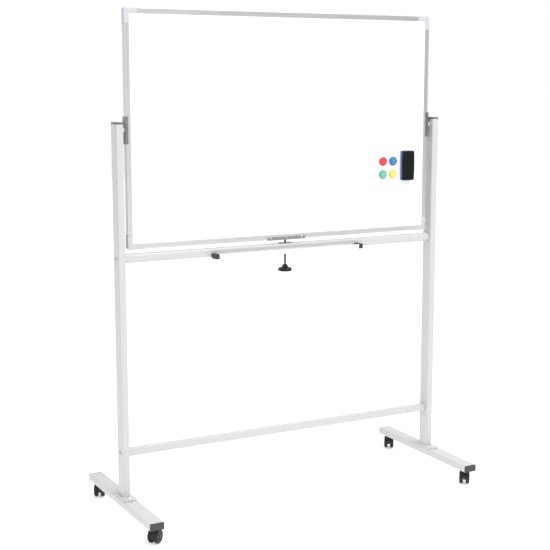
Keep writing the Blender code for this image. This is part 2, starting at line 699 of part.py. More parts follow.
def build_clamp(finishes):
    """Channel, screw rod, knob and the nut fixed under the crossbar."""
    slide = make_empty("clamp_slide", (0, 0, board_bottom))
    place("clamp_channel", clamp_channel(), finishes["brushed_steel"], parent=slide)
    turn = make_empty("clamp_screw", (0, 0, 0), parent=slide)
    shoulder = -CLAMP_SHEET - 2 * GAP
    bottom = rod_bottom - board_bottom
    neck = ROD_NECK_DIAMETER / 2
    rod = [
        (0, bottom), (ROD_DIAMETER / 2 - GAP, bottom), (ROD_DIAMETER / 2, bottom + GAP),
        (ROD_DIAMETER / 2, shoulder), (neck, shoulder), (neck, -2 * GAP), (0, -2 * GAP),
    ]
    place("clamp_rod", turn_profile("rod", rod), finishes["zinc"], parent=turn)
    place("clamp_knob", knob_mesh(), finishes["black_plastic"],
          (0, 0, knob_bottom - board_bottom), parent=turn)
    corner_to_corner = NUT_WIDTH / math.cos(math.pi / 6)
    bore = circle(ROD_DIAMETER + 2 * GAP, 24)
    nut = extrude_outline("nut", circle(corner_to_corner, 6), NUT_HEIGHT, [bore])
    place("clamp_nut", nut, finishes["zinc"], (0, 0, bar_bottom - GAP - NUT_HEIGHT))


def knob_mesh():
    """Lobed hand knob with a cone on top and a blind bore for the rod."""
    radius = KNOB_DIAMETER / 2
    bore = ROD_DIAMETER / 2 + GAP
    floor = rod_bottom - knob_bottom - GAP
    top = KNOB_DISC + KNOB_CONE
    profile = [
        (0, floor), (bore, floor), (bore, top), (2 * bore, top),
        (KNOB_CONE_BASE / 2, KNOB_DISC + GAP), (radius - KNOB_EDGE, KNOB_DISC),
        (radius, KNOB_DISC - KNOB_EDGE), (radius, 2 * KNOB_EDGE), (radius - 1.5 * KNOB_EDGE, 0), (0, 0),
    ]

    def lobes(reach, angle):
        share = max(0.0, 2 * reach / radius - 1)
        return reach - share * KNOB_LOBE_DEPTH * (1 - math.cos(KNOB_LOBES * angle)) / 2

    return turn_profile("knob", profile, 4 * KNOB_LOBES, lobes)


# Magnets and eraser

def build_accessories(finishes, pivot):
    """Four button magnets and the felt eraser on the front sheet."""
    radius = MAGNET_DIAMETER / 2
    ease = MAGNET_EDGE
    button = [
        (0, 0), (radius - ease / 2, 0), (radius, ease / 2), (radius, MAGNET_THICKNESS - 2 * ease),
        (radius - ease, MAGNET_THICKNESS - ease / 2), (radius - 2 * ease, MAGNET_THICKNESS),
        (0, MAGNET_THICKNESS),
    ]
    front = -sheet_face - GAP
    towards_front = (math.pi / 2, 0, 0)
    places = (("red", -1, 1), ("blue", 1, 1), ("green", -1, -1), ("yellow", 1, -1))
    for colour, column, row in places:
        where = (
            magnets_x + column * MAGNET_SPACING_X / 2,
            front,
            magnets_z + row * MAGNET_SPACING_Z / 2,
        )
        place(f"magnet_{colour}", turn_profile("magnet", button), finishes[f"{colour}_plastic"],
              where, towards_front, pivot)
    holder = make_empty("eraser_lift", (eraser_x, front, eraser_z), parent=pivot)
    outline = rounded_rectangle(ERASER_WIDTH, ERASER_LENGTH, ERASER_RADIUS)
    felt = extrude_outline("felt", outline, ERASER_FELT)
    place("eraser_felt", felt, finishes["blue_felt"], (0, 0, 0), towards_front, holder)
    above = (0, -ERASER_FELT - GAP, 0)
    place("eraser_body", eraser_shell(), finishes["black_plastic"], above, towards_front, holder)


def eraser_shell():
    """Bowed grip, wider at mid length, with rounded front edges."""
    bm = bmesh.new()
    edge = ERASER_RADIUS
    sections = (
        (0, 0), (ERASER_SHELL - edge, 0), (ERASER_SHELL - edge / 3, edge / 3), (ERASER_SHELL, edge),
    )
    loops = []
    for height, inset in sections:
        width = ERASER_WIDTH - 2 * ERASER_BOW - 2 * inset
        loop = []
        for point in rounded_rectangle(width, ERASER_LENGTH - 2 * inset, ERASER_RADIUS, 4):
            swell = ERASER_BOW * (1 - (2 * point[1] / ERASER_LENGTH) ** 2)
            loop.append(bm.verts.new((point[0] + math.copysign(swell, point[0]), point[1], height)))
        loops.append(loop)
    for low, high in zip(loops, loops[1:]):
        for i in range(len(low)):
            bm.faces.new((low[i - 1], low[i], high[i], high[i - 1]))
    bm.faces.new(loops[0])
    bm.faces.new(loops[-1])
    return finish_mesh("eraser_shell", bm)


# Casters

def wheel_mesh():
    """Wheel about Z: its open bore side at z = 0, its closed face at the width."""
    radius = WHEEL_DIAMETER / 2
    bore = CASTER_AXLE_DIAMETER / 2 + GAP
    ease = WHEEL_EDGE
    profile = [
        (0, WHEEL_BORE_DEPTH), (bore, WHEEL_BORE_DEPTH), (bore, 0), (radius - ease, 0), (radius, ease),
        (radius, WHEEL_WIDTH - 2 * ease), (radius - ease, WHEEL_WIDTH - ease / 2),
        (radius - 3 * ease, WHEEL_WIDTH), (0, WHEEL_WIDTH),
    ]
    return turn_profile("wheel", profile, 24)


def hood_mesh():
    """Caster body: web, hood, swivel boss and axle.

    Its origin is on the swivel axis at floor level, and it trails to +X.
    """
    radius = WHEEL_DIAMETER / 2
    axle = Vector((CASTER_TRAIL, 0, radius))
    across = Vector((0, CASTER_WEB / 2, 0))
    web = rod_mesh("web", 2 * (radius - CASTER_WEB_INSET), axle - across, (0, 1, 0), CASTER_WEB, 20)
    inner = radius + WHEEL_CLEARANCE
    outer = inner + CASTER_HOOD_WALL
    spine_width = CASTER_WEB - 2 * GAP
    spine_reach = (inner - CASTER_SPINE, outer - CASTER_HOOD_WALL / 2)
    spine = arc_band("spine", axle, spine_reach, CASTER_SPINE_ARC, spine_width)
    cover = arc_band("cover", axle, (inner, outer), CASTER_HOOD_ARC, CASTER_HOOD_WIDTH)
    boss_bottom = WHEEL_DIAMETER + GAP
    boss = rod_mesh("boss", CASTER_BOSS_DIAMETER, (0, 0, boss_bottom), (0, 0, 1), CASTER_BOSS, 24)
    post_half = CASTER_WEB / 2 - 2 * GAP
    post_top = boss_bottom + CASTER_BOSS / 2
    post = box_mesh("post", (-post_half, -post_half, radius), (post_half, post_half, post_top))
    half_axle = CASTER_WEB / 2 + WHEEL_CLEARANCE + WHEEL_BORE_DEPTH - 2 * GAP
    shaft_start = axle - Vector((0, half_axle, 0))
    shaft = rod_mesh("axle", CASTER_AXLE_DIAMETER, shaft_start, (0, 1, 0), 2 * half_axle)
    socket_depth = CASTER_PIN_LENGTH + GAP
    socket_start = (0, 0, boss_bottom + CASTER_BOSS - socket_depth)
    socket = rod_mesh("socket", CASTER_PIN_DIAMETER + 2 * GAP, socket_start, (0, 0, 1), 2 * socket_depth)
    unions = [("UNION", piece) for piece in (spine, cover, post, boss, shaft)]
    return combine(web, unions + [("DIFFERENCE", socket)])


def arc_band(name, axle, reaches, degrees, width, count=8):
    """Part of a ring about the axle, over the top of the wheels."""
    first, last = (math.radians(angle) for angle in degrees)
    angles = [first + (last - first) * step / count for step in range(count + 1)]
    outline = [
        (axle.x + reach * math.cos(angle), axle.z + reach * math.sin(angle))
        for reach, order in zip(reaches, (angles, reversed(angles)))
        for angle in order
    ]
    mesh = extrude_outline(name, outline, width)
    mesh.transform(Matrix.Translation((0, width / 2, 0)) @ Matrix.Rotation(math.pi / 2, 4, "X"))
    return mesh


def stem_mesh():
    """Threaded stem, flange and swivel pin, with its origin at floor level."""
    boss_top = WHEEL_DIAMETER + GAP + CASTER_BOSS
    flange_bottom = boss_top + GAP
    flange_top = flange_bottom + CASTER_FLANGE
    pin_bottom = boss_top - CASTER_PIN_LENGTH + GAP
    thread_top = foot_bottom + CASTER_THREAD_LENGTH
    pin = CASTER_PIN_DIAMETER / 2
    thread = CASTER_THREAD_DIAMETER / 2
    flange = CASTER_FLANGE_DIAMETER / 2
    profile = [
        (0, pin_bottom), (pin, pin_bottom), (pin, flange_bottom), (flange, flange_bottom),
        (flange, flange_top), (thread, flange_top), (thread, thread_top - 2 * GAP),
        (thread - 2 * GAP, thread_top), (0, thread_top),
    ]
    return turn_profile("stem", profile, 16)


def build_casters(finishes):
    """Four swivel casters, each with its stem, hood and two wheels."""
    hood, wheel, stem = hood_mesh(), wheel_mesh(), stem_mesh()
    for word, degrees in CASTER_TURNS.items():
        end, side = word.split("_")
        x = upright_x if side == "right" else -upright_x
        y = CASTER_SPACING / 2 if end == "back" else -CASTER_SPACING / 2
        swivel = make_empty(f"swivel_{word}", (x, y, 0), math.radians(degrees))
        place(f"caster_stem_{word}", stem, finishes["zinc"], (x, y, 0))
        place(f"caster_hood_{word}", hood, finishes["caster_plastic"], parent=swivel)
        for across, letter in ((-1, "a"), (1, "b")):
            offset = across * (CASTER_WEB / 2 + WHEEL_CLEARANCE)
            where = (CASTER_TRAIL, offset, WHEEL_DIAMETER / 2)
            place(f"wheel_{letter}_{word}", wheel, finishes["caster_rubber"],
                  where, (-across * math.pi / 2, 0, 0), swivel)


def main():
    remove_everything()
    finishes = {
        "white_paint": make_material("white_paint", (0.86, 0.86, 0.84), 0.35),
        "aluminium": make_material("aluminium", (0.62, 0.62, 0.64), 0.32, 1.0),
        "grey_plastic": make_material("grey_plastic", (0.62, 0.62, 0.68), 0.45),
        "white_enamel": make_material("white_enamel", (0.93, 0.93, 0.93), 0.12),
        "core": make_material("core", (0.60, 0.50, 0.38), 0.8),
        "dark_plastic": make_material("dark_plastic", (0.065, 0.065, 0.07), 0.45),
        "black_plastic": make_material("black_plastic", (0.02, 0.02, 0.022), 0.35),
        "caster_plastic": make_material("caster_plastic", (0.045, 0.045, 0.05), 0.5),
        "caster_rubber": make_material("caster_rubber", (0.03, 0.03, 0.032), 0.6),
        "brushed_steel": make_material("brushed_steel", (0.42, 0.42, 0.43), 0.35, 1.0),
        "zinc": make_material("zinc", (0.48, 0.48, 0.5), 0.35, 1.0),
        "blue_felt": make_material("blue_felt", (0.16, 0.22, 0.42), 0.95),
        "red_plastic": make_material("red_plastic", (0.80, 0.06, 0.10), 0.3),
        "blue_plastic": make_material("blue_plastic", (0.08, 0.32, 0.65), 0.3),
        "green_plastic": make_material("green_plastic", (0.20, 0.65, 0.45), 0.3),
        "yellow_plastic": make_material("yellow_plastic", (0.95, 0.75, 0.25), 0.3),
    }
    build_stand(finishes)
    build_tray(finishes)
    pivot = make_empty("board_pivot", (0, 0, PIVOT_HEIGHT))
    build_board(finishes, pivot)
    build_pivots(finishes, pivot)
    build_clamp(finishes)
    build_accessories(finishes, pivot)
    build_casters(finishes)


main()
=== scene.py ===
import json
import math

import bmesh
import bpy
from mathutils import Matrix, Vector


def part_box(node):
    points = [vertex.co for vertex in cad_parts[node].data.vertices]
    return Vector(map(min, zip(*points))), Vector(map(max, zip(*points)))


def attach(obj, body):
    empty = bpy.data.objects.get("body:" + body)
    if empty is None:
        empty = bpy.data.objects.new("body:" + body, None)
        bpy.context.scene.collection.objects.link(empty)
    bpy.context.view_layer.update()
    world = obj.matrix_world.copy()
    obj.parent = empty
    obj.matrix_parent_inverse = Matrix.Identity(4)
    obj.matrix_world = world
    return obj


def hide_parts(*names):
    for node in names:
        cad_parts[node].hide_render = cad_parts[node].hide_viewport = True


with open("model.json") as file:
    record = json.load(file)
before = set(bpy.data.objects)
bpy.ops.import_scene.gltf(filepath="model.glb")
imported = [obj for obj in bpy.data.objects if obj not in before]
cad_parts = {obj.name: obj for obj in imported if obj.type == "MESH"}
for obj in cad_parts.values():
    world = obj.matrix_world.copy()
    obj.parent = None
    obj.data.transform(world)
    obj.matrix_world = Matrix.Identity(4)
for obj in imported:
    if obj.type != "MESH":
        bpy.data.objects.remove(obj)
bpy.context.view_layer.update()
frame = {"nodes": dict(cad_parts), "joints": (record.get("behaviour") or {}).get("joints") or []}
nodes = frame["nodes"]
joints = {joint["name"]: joint for joint in frame["joints"]}
gap = 0.0003  # left between parts that touch
casterNames = ("front_left", "front_right", "back_left", "back_right")
sides = (("left", -1), ("right", 1))
print("frame loaded:", len(nodes), "nodes")


# Sockets and node trees

class Wire:  # an output socket that takes part in Python arithmetic
    def __init__(self, graph, socket):
        self.graph = graph
        self.socket = socket

    def other(self, name):  # another output of the same node
        return Wire(self.graph, self.socket.node.outputs[name])

    def maths(self, operation, first, second):
        return self.graph.node("ShaderNodeMath", {"operation": operation}, {0: first, 1: second})

    def __add__(self, value):
        return self.maths("ADD", self, value)

    def __sub__(self, value):
        return self.maths("SUBTRACT", self, value)

    def __mul__(self, value):
        return self.maths("MULTIPLY", self, value)

    def __truediv__(self, value):
        return self.maths("DIVIDE", self, value)


class Graph:  # a node tree that hands out wires
    def __init__(self, tree):
        self.tree = tree

    def node(self, kind, settings=None, values=None, out=0):
        made = self.tree.nodes.new(kind)
        for name, value in (settings or {}).items():
            if name == "stops":
                self.fillRamp(made.color_ramp, value)
            else:
                setattr(made, name, value)
        for name, value in (values or {}).items():
            self.feed(made.inputs[name], value)
        return Wire(self, made.outputs[out])

    def feed(self, socket, value):  # a wire is linked, a fixed value is set
        if isinstance(value, Wire):
            self.tree.links.new(value.socket, socket)
        elif socket.type == "RGBA":
            socket.default_value = (*value, 1.0)
        else:
            socket.default_value = value

    def fillRamp(self, ramp, stops):
        while len(ramp.elements) < len(stops):
            ramp.elements.new(1.0)
        for element, (place, colour) in zip(ramp.elements, stops):
            element.position = place
            element.color = (*colour, 1.0)


class Finish(Graph):  # one procedural material
    def __init__(self, name):
        self.material = bpy.data.materials.new(name)
        self.material.use_nodes = True
        super().__init__(self.material.node_tree)
        self.shader = self.tree.nodes["Principled BSDF"]
        self.spot = self.node("ShaderNodeTexCoord", out="Object")

    def place(self, scale):  # object coordinates, stretched
        return self.node("ShaderNodeMapping", {"vector_type": "TEXTURE"},
                         {"Vector": self.spot, "Scale": [1 / share for share in scale]})

    def part(self, axis):  # one of the object coordinates
        return self.node("ShaderNodeSeparateXYZ", None, {"Vector": self.spot}, axis)

    def noise(self, scale, detail=3.0, vector=None, roughness=0.5):
        values = {"Vector": vector or self.spot, "Scale": scale, "Detail": detail, "Roughness": roughness}
        return self.node("ShaderNodeTexNoise", None, values, "Fac")

    def remap(self, value, low, high, first, last):  # value low..high becomes first..last
        ends = {"Value": value, "From Min": low, "From Max": high, "To Min": first, "To Max": last}
        return self.node("ShaderNodeMapRange", {"clamp": True}, ends)

    def blend(self, factor, first, second):  # mixes two colours
        made = self.tree.nodes.new("ShaderNodeMix")
        made.data_type = "RGBA"
        for name, value in (("Factor_Float", factor), ("A_Color", first), ("B_Color", second)):
            self.feed(next(item for item in made.inputs if item.identifier == name), value)
        return Wire(self, next(item for item in made.outputs if item.identifier == "Result_Color"))

    def ramp(self, value, stops):
        return self.node("ShaderNodeValToRGB", {"stops": stops}, {"Fac": value}, "Color")

    def bump(self, height, distance, strength=1.0):
        return self.node("ShaderNodeBump", None, {"Height": height, "Distance": distance, "Strength": strength},
                         "Normal")

    def set(self, **values):  # wires or fixed values on the shader's own sockets
        for name, value in values.items():
            self.feed(self.shader.inputs[name.replace("_", " ")], value)
        return self.material


# Finishes

def paintFinish(name, dull, clean):  # powder coat: faint orange peel, a little grime low down
    finish = Finish(name)
    cloud = finish.noise(2.6, 4.0)
    peel = finish.noise(520.0, 2.0)
    speck = finish.noise(1400.0, 1.0)
    scuff = finish.remap(finish.noise(46.0, 5.0, roughness=0.7), 0.62, 0.74, 0.0, 1.0)
    low = finish.remap(finish.part("Z"), 0.05, 0.14, 1.0, 0.0)
    tone = finish.blend(cloud, dull, clean)
    tone = finish.blend(scuff * low * 0.35, tone, (0.42, 0.41, 0.39))
    relief = peel * 0.7 + speck * 0.3
    return finish.set(Base_Color=tone, Roughness=finish.remap(cloud, 0.3, 0.7, 0.34, 0.44),
                      Normal=finish.bump(relief, 0.00005, 0.5), Coat_Weight=0.12, Coat_Roughness=0.2)


def enamelFinish(name):  # dry-wipe coat with the faintest ghosts of old strokes
    finish = Finish(name)
    streaks = finish.noise(5.0, 5.0, finish.place((1.0, 1.0, 3.2)), 0.62)
    ghost = finish.remap(streaks, 0.56, 0.80, 0.0, 0.05)
    ripple = finish.noise(150.0, 1.0)
    wiped = finish.noise(9.0, 3.0, finish.place((1.0, 1.0, 5.0)))
    tone = finish.blend(ghost, (0.93, 0.93, 0.93), (0.60, 0.66, 0.74))
    return finish.set(Base_Color=tone, Roughness=finish.remap(wiped, 0.35, 0.7, 0.13, 0.22),
                      Normal=finish.bump(ripple, 0.00004, 0.25), Coat_Weight=0.35, Coat_Roughness=0.06)


def aluminiumFinish(name, along):  # anodised extrusion, drawn along X or Z
    finish = Finish(name)
    stretch = (3.0, 900.0, 900.0) if along == "X" else (900.0, 900.0, 3.0)
    drawn = finish.noise(1.0, 4.0, finish.place(stretch), 0.6)
    broad = finish.noise(7.0, 3.0)
    tone = finish.blend(drawn, (0.57, 0.57, 0.58), (0.73, 0.73, 0.74))
    tone = finish.blend(broad * 0.25, tone, (0.56, 0.56, 0.58))
    return finish.set(Base_Color=tone, Metallic=1.0, Roughness=finish.remap(drawn, 0.3, 0.7, 0.30, 0.46),
                      Normal=finish.bump(drawn, 0.00003, 0.35))


def mouldedFinish(name, colour, worn, roughness, grain=900.0, depth=0.00004, gloss=0.5):
    # spark-eroded moulded plastic: fine grain, cloudy gloss and a few pale rubs
    finish = Finish(name)
    cloud = finish.noise(38.0, 3.0)
    pits = finish.noise(grain, 3.0, roughness=0.6)
    rubs = finish.remap(finish.noise(150.0, 6.0, roughness=0.75), 0.60, 0.78, 0.0, 0.5)
    tone = finish.blend(cloud, tuple(0.88 * part for part in colour), tuple(1.12 * part for part in colour))
    tone = finish.blend(rubs, tone, worn)
    rough = finish.remap(pits, 0.3, 0.7, roughness - 0.06, roughness + 0.08)
    return finish.set(Base_Color=tone, Roughness=rough, Normal=finish.bump(pits, depth, 0.6),
                      Specular_IOR_Level=gloss)


def shellFinish(low, high):  # navy towards the felt, black on the grip's front
    finish = Finish("eraserShell")
    share = finish.remap(finish.part("Y"), low + 0.003, high, 0.0, 1.0)
    pits = finish.noise(1100.0, 3.0, roughness=0.6)
    rubs = finish.remap(finish.noise(150.0, 6.0, roughness=0.75), 0.60, 0.78, 0.0, 0.5)
    tone = finish.ramp(share, ((0.0, (0.004, 0.004, 0.005)), (0.35, (0.006, 0.008, 0.022)),
                               (1.0, (0.014, 0.022, 0.10))))
    tone = finish.blend(rubs, tone, (0.035, 0.036, 0.045))
    return finish.set(Base_Color=tone, Roughness=finish.remap(pits, 0.3, 0.7, 0.36, 0.48),
                      Normal=finish.bump(pits, 0.00003, 0.6), Specular_IOR_Level=0.18)


def treadFinish():  # grey-black tread with floor dust in its lower grain
    finish = Finish("wheelTread")
    grain = finish.noise(700.0, 4.0, roughness=0.65)
    dust = finish.remap(finish.noise(85.0, 6.0, roughness=0.7), 0.45, 0.75, 0.0, 0.55)
    tone = finish.blend(dust, (0.015, 0.015, 0.017), (0.075, 0.072, 0.068))
    return finish.set(Base_Color=tone, Roughness=finish.remap(grain, 0.3, 0.7, 0.55, 0.8),
                      Normal=finish.bump(grain, 0.00008, 0.7), Specular_IOR_Level=0.35)


def steelFinish(name, tint, roughness, stretch, metallic=1.0):  # plain or brushed steel under a thin plating
    finish = Finish(name)
    lines = finish.noise(1.0, 4.0, finish.place(stretch), 0.6)
    patches = finish.noise(60.0, 4.0)
    stain = finish.remap(finish.noise(24.0, 5.0), 0.50, 0.72, 0.0, 0.3)
    tone = finish.blend(lines, tuple(0.84 * part for part in tint), tuple(1.16 * part for part in tint))
    tone = finish.blend(stain, tone, (0.42, 0.40, 0.36))
    rough = finish.remap(patches, 0.3, 0.7, roughness - 0.06, roughness + 0.10)
    return finish.set(Base_Color=tone, Metallic=metallic, Roughness=rough,
                      Normal=finish.bump(lines * 0.7 + patches * 0.3, 0.00004, 0.4))


def feltFinish(low, high):  # pressed felt, pale by the board and navy by the shell
    finish = Finish("eraserFelt")
    share = finish.remap(finish.part("Y"), high, low, 0.0, 1.0)
    fibres = finish.noise(1500.0, 5.0, roughness=0.8)
    tufts = finish.noise(260.0, 4.0)
    stained = finish.remap(tufts, 0.48, 0.70, 0.0, 0.5)
    tone = finish.ramp(share, ((0.0, (0.30, 0.37, 0.54)), (0.45, (0.12, 0.15, 0.35)), (1.0, (0.02, 0.03, 0.12))))
    tone = finish.blend(fibres * 0.5, tone, (0.20, 0.25, 0.45))
    tone = finish.blend(stained * 0.4, tone, (0.03, 0.04, 0.09))
    return finish.set(Base_Color=tone, Roughness=0.95, Sheen_Weight=0.5, Sheen_Roughness=0.4,
                      Normal=finish.bump(fibres * 0.6 + tufts * 0.4, 0.0003, 0.8))


def magnetFinish(colour, tint, rim, centre, radius):  # glossy button, paler in its dished middle
    finish = Finish(f"magnet{colour.capitalize()}")
    offset = finish.node("ShaderNodeVectorMath", {"operation": "SUBTRACT"}, {0: finish.spot, 1: centre})
    flat = finish.node("ShaderNodeVectorMath", {"operation": "MULTIPLY"}, {0: offset, 1: (1, 0, 1)})
    reach = finish.node("ShaderNodeVectorMath", {"operation": "LENGTH"}, {0: flat}, "Value")
    cloud = finish.noise(120.0, 3.0)
    share = finish.remap(reach / radius + (cloud - 0.5) * 0.12, 0.40, 0.95, 0.0, 1.0)
    scratch = finish.noise(1.0, 3.0, finish.place((900.0, 900.0, 90.0)))
    return finish.set(Base_Color=finish.blend(share, tint, rim),
                      Roughness=finish.remap(scratch, 0.35, 0.7, 0.20, 0.36),
                      Normal=finish.bump(scratch, 0.00002, 0.3), Coat_Weight=0.15, Coat_Roughness=0.12)


def cardFinish():  # honeycomb paper inside the board
    finish = Finish("boardCore")
    cells = finish.node("ShaderNodeTexVoronoi", {"feature": "DISTANCE_TO_EDGE"},
                        {"Vector": finish.spot, "Scale": 90.0}, "Distance")
    wall = finish.remap(cells, 0.02, 0.08, 0.0, 1.0)
    tone = finish.blend(wall, (0.30, 0.22, 0.13), (0.52, 0.40, 0.26))
    return finish.set(Base_Color=tone, Roughness=0.9, Normal=finish.bump(wall, 0.0004, 0.8))


# Mesh tools

def keptMesh(name, bm):
    mesh = bpy.data.meshes.new(name)
    bm.to_mesh(mesh)
    bm.free()
    return mesh


def eased(points, radius, steps=4):  # a closed outline with its corners rounded
    radii = radius if isinstance(radius, (list, tuple)) else [radius] * len(points)
    outline = []
    for i, here in enumerate(points):
        here = Vector(here)
        before = (Vector(points[i - 1]) - here)
        after = (Vector(points[(i + 1) % len(points)]) - here)
        corner = before.angle(after, math.pi)
        if radii[i] <= 0 or abs(corner - math.pi) < 0.02:
            outline.append(here)
            continue
        cut = radii[i] / math.tan(corner / 2)
        cut = min(cut, 0.49 * before.length, 0.49 * after.length)
        start, end = here + before.normalized() * cut, here + after.normalized() * cut
        for step in range(steps + 1):
            t = step / steps
            outline.append((1 - t) ** 2 * start + 2 * t * (1 - t) * here + t ** 2 * end)
    return outline


def ring(width, height, radius, steps=6):  # a rounded rectangle about the origin
    half, tall = width / 2, height / 2
    return eased([(half, -tall), (half, tall), (-half, tall), (-half, -tall)], radius, steps)


def toMesh(name, bm, place=None, angle=32):
    bmesh.ops.remove_doubles(bm, verts=bm.verts, dist=1e-6)
    if place:
        bmesh.ops.transform(bm, matrix=place, verts=bm.verts)
    bmesh.ops.recalc_face_normals(bm, faces=bm.faces)
    return smoothed(keptMesh(name, bm), angle)


def skin(bm, loops, closed=False, capped=True):  # faces between loops of the same length
    rows = [[bm.verts.new(point) for point in loop] for loop in loops]
    pairs = list(zip(rows, rows[1:])) + ([(rows[-1], rows[0])] if closed else [])
    for low, high in pairs:
        for i in range(len(low)):
            bm.faces.new((low[i - 1], low[i], high[i], high[i - 1]))
    if capped and not closed:
        bm.faces.new(rows[0])
        bm.faces.new(rows[-1])
    return bm


def lathe(outline, steps, wave=None):  # (radius, height) points turned about Z
    bm = bmesh.new()
    onAxis = outline[0][0] < 1e-7
    loops = []
    for radius, height in outline:
        if radius < 1e-7:
            loops.append(bm.verts.new((0, 0, height)))
            continue
        loop = []
        for step in range(steps):
            angle = 2 * math.pi * step / steps
            reach = wave(radius, angle) if wave else radius
            loop.append(bm.verts.new((reach * math.cos(angle), reach * math.sin(angle), height)))
        loops.append(loop)
    pairs = list(zip(loops, loops[1:])) + ([] if onAxis else [(loops[-1], loops[0])])
    for low, high in pairs:
        for step in range(steps):
            after = (step + 1) % steps
            first = [low] if isinstance(low, bmesh.types.BMVert) else [low[step], low[after]]
            second = [high] if isinstance(high, bmesh.types.BMVert) else [high[after], high[step]]
            if len(first) + len(second) > 2:
                bm.faces.new(first + second)
    return bm


def prism(bm, outline, low, high, place=None):  # an outline pushed from z = low to z = high
    start = len(bm.verts)
    skin(bm, [[(x, y, height) for x, y in outline] for height in (low, high)])
    bm.verts.ensure_lookup_table()
    if place:
        bmesh.ops.transform(bm, matrix=place, verts=bm.verts[start:])


def circle(radius, steps=32):
    turns = [2 * math.pi * step / steps for step in range(steps)]
    return [Vector((radius * math.cos(turn), radius * math.sin(turn))) for turn in turns]


def inset(outline, amount):  # the outline moved inwards
    area = sum(a.x * b.y - b.x * a.y for a, b in zip(outline, outline[1:] + outline[:1]))
    hand = 1 if area > 0 else -1
    moved = []
    for i, here in enumerate(outline):
        before, after = here - outline[i - 1], outline[(i + 1) % len(outline)] - here
        first = hand * Vector((-before.y, before.x)).normalized()
        second = hand * Vector((-after.y, after.x)).normalized()
        moved.append(here + (first + second) * amount / (1 + first.dot(second)))
    return moved


def block(low, high):  # plain tool for cutting and joining
    bm = bmesh.new()
    bmesh.ops.create_cube(bm, size=1)
    size = Vector(high) - Vector(low)
    bmesh.ops.scale(bm, verts=bm.verts, vec=size)
    bmesh.ops.translate(bm, verts=bm.verts, vec=Vector(low) + size / 2)
    return toMesh("block", bm)


def flatFace(*outlines):  # a flat sheet facing +Z, the later outlines cut out of it
    bm = bmesh.new()
    edges = []
    for outline in outlines:
        verts = [bm.verts.new((x, y, 0)) for x, y in outline]
        edges += [bm.edges.new((verts[i - 1], verts[i])) for i in range(len(verts))]
    bmesh.ops.triangle_fill(bm, use_beauty=True, use_dissolve=False, edges=edges)
    bmesh.ops.recalc_face_normals(bm, faces=bm.faces)
    bm.faces.ensure_lookup_table()
    if bm.faces[0].normal.z < 0:
        bmesh.ops.reverse_faces(bm, faces=bm.faces)
    return keptMesh("flatFace", bm)


def frameAlong(axis, origin=(0, 0, 0), forward=None):  # matrix whose Z runs along the axis
    z = Vector(axis).normalized()
    x = Vector(forward) if forward else z.orthogonal()
    x = (x - x.dot(z) * z).normalized()
    y = z.cross(x)
    turn = Matrix((x, y, z)).transposed().to_4x4()
    return Matrix.Translation(origin) @ turn


def placed(name, data):
    item = bpy.data.objects.new(name, data)
    bpy.context.scene.collection.objects.link(item)
    return item


def applied(mesh, *modifiers):  # the mesh after (type, settings) modifiers
    item = placed("bench", mesh)
    for kind, settings in modifiers:
        modifier = item.modifiers.new(kind.title(), kind)
        for name, value in settings.items():
            setattr(modifier, name, value)
    evaluated = item.evaluated_get(bpy.context.evaluated_depsgraph_get())
    result = bpy.data.meshes.new_from_object(evaluated)
    bpy.data.objects.remove(item, do_unlink=True)
    return result


def smoothed(mesh, angle=32):
    mesh.shade_smooth()
    mesh.set_sharp_from_angle(angle=math.radians(angle))
    return mesh


def evened(mesh):  # broad faces shade flat, the rounds between them smooth
    return applied(smoothed(mesh, 50), ("WEIGHTED_NORMAL", {"keep_sharp": True}))


def carved(mesh, operation, tools):
    helpers = [placed("tool", tool) for tool in tools]
    steps = [("BOOLEAN", {"operation": operation, "solver": "EXACT", "object": helper}) for helper in helpers]
    result = applied(mesh, *steps)
    for helper in helpers:
        bpy.data.objects.remove(helper, do_unlink=True)
    return smoothed(result)


def united(meshes):  # one closed skin round several solids
    return carved(meshes[0], "UNION", meshes[1:])


def cut(mesh, tool):
    return carved(mesh, "DIFFERENCE", [tool])


def eased3d(node, width, segments=3, angle=30):  # a CAD node's shape with its edges rounded
    bm = bmesh.new()
    bm.from_mesh(nodes[node].data)
    bmesh.ops.remove_doubles(bm, verts=bm.verts, dist=1e-6)
    bmesh.ops.dissolve_limit(bm, angle_limit=math.radians(1), verts=bm.verts, edges=bm.edges)
    mesh = keptMesh(node, bm)
    mesh.shade_smooth()
    return applied(mesh, ("BEVEL", {"width": width, "segments": segments, "limit_method": "ANGLE",
                                    "angle_limit": math.radians(angle)}),
                   ("WEIGHTED_NORMAL", {"keep_sharp": True}))


def piece(name, mesh, body, finish, slot, *replaced):
    mesh.name = name
    mesh.materials.clear()
    mesh.materials.append(finish)
    item = placed(name, mesh)
    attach(item, body)
    if replaced:
        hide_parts(*replaced)


def recast(node, ending, finish, slot, edge, segments=3, angle=30, body="root"):  # stands in for its CAD node
    piece(f"{node}_{ending}", eased3d(node, edge, segments, angle), body, finish, slot, node)


def studs(name, pattern, places, sizes, finish, slot, body="root"):  # the pattern on every (place, facing)
    grown = pattern.grow(name, pointsMesh(name, places), {**sizes, "Finish": finish})
    piece(name, smoothed(grown), body, finish, slot)


def dress(finish, *names):  # a finish for CAD nodes whose shape is right
    for name in names:
        for holder in nodes[name].material_slots:
            holder.material = finish


# Geometry Nodes patterns

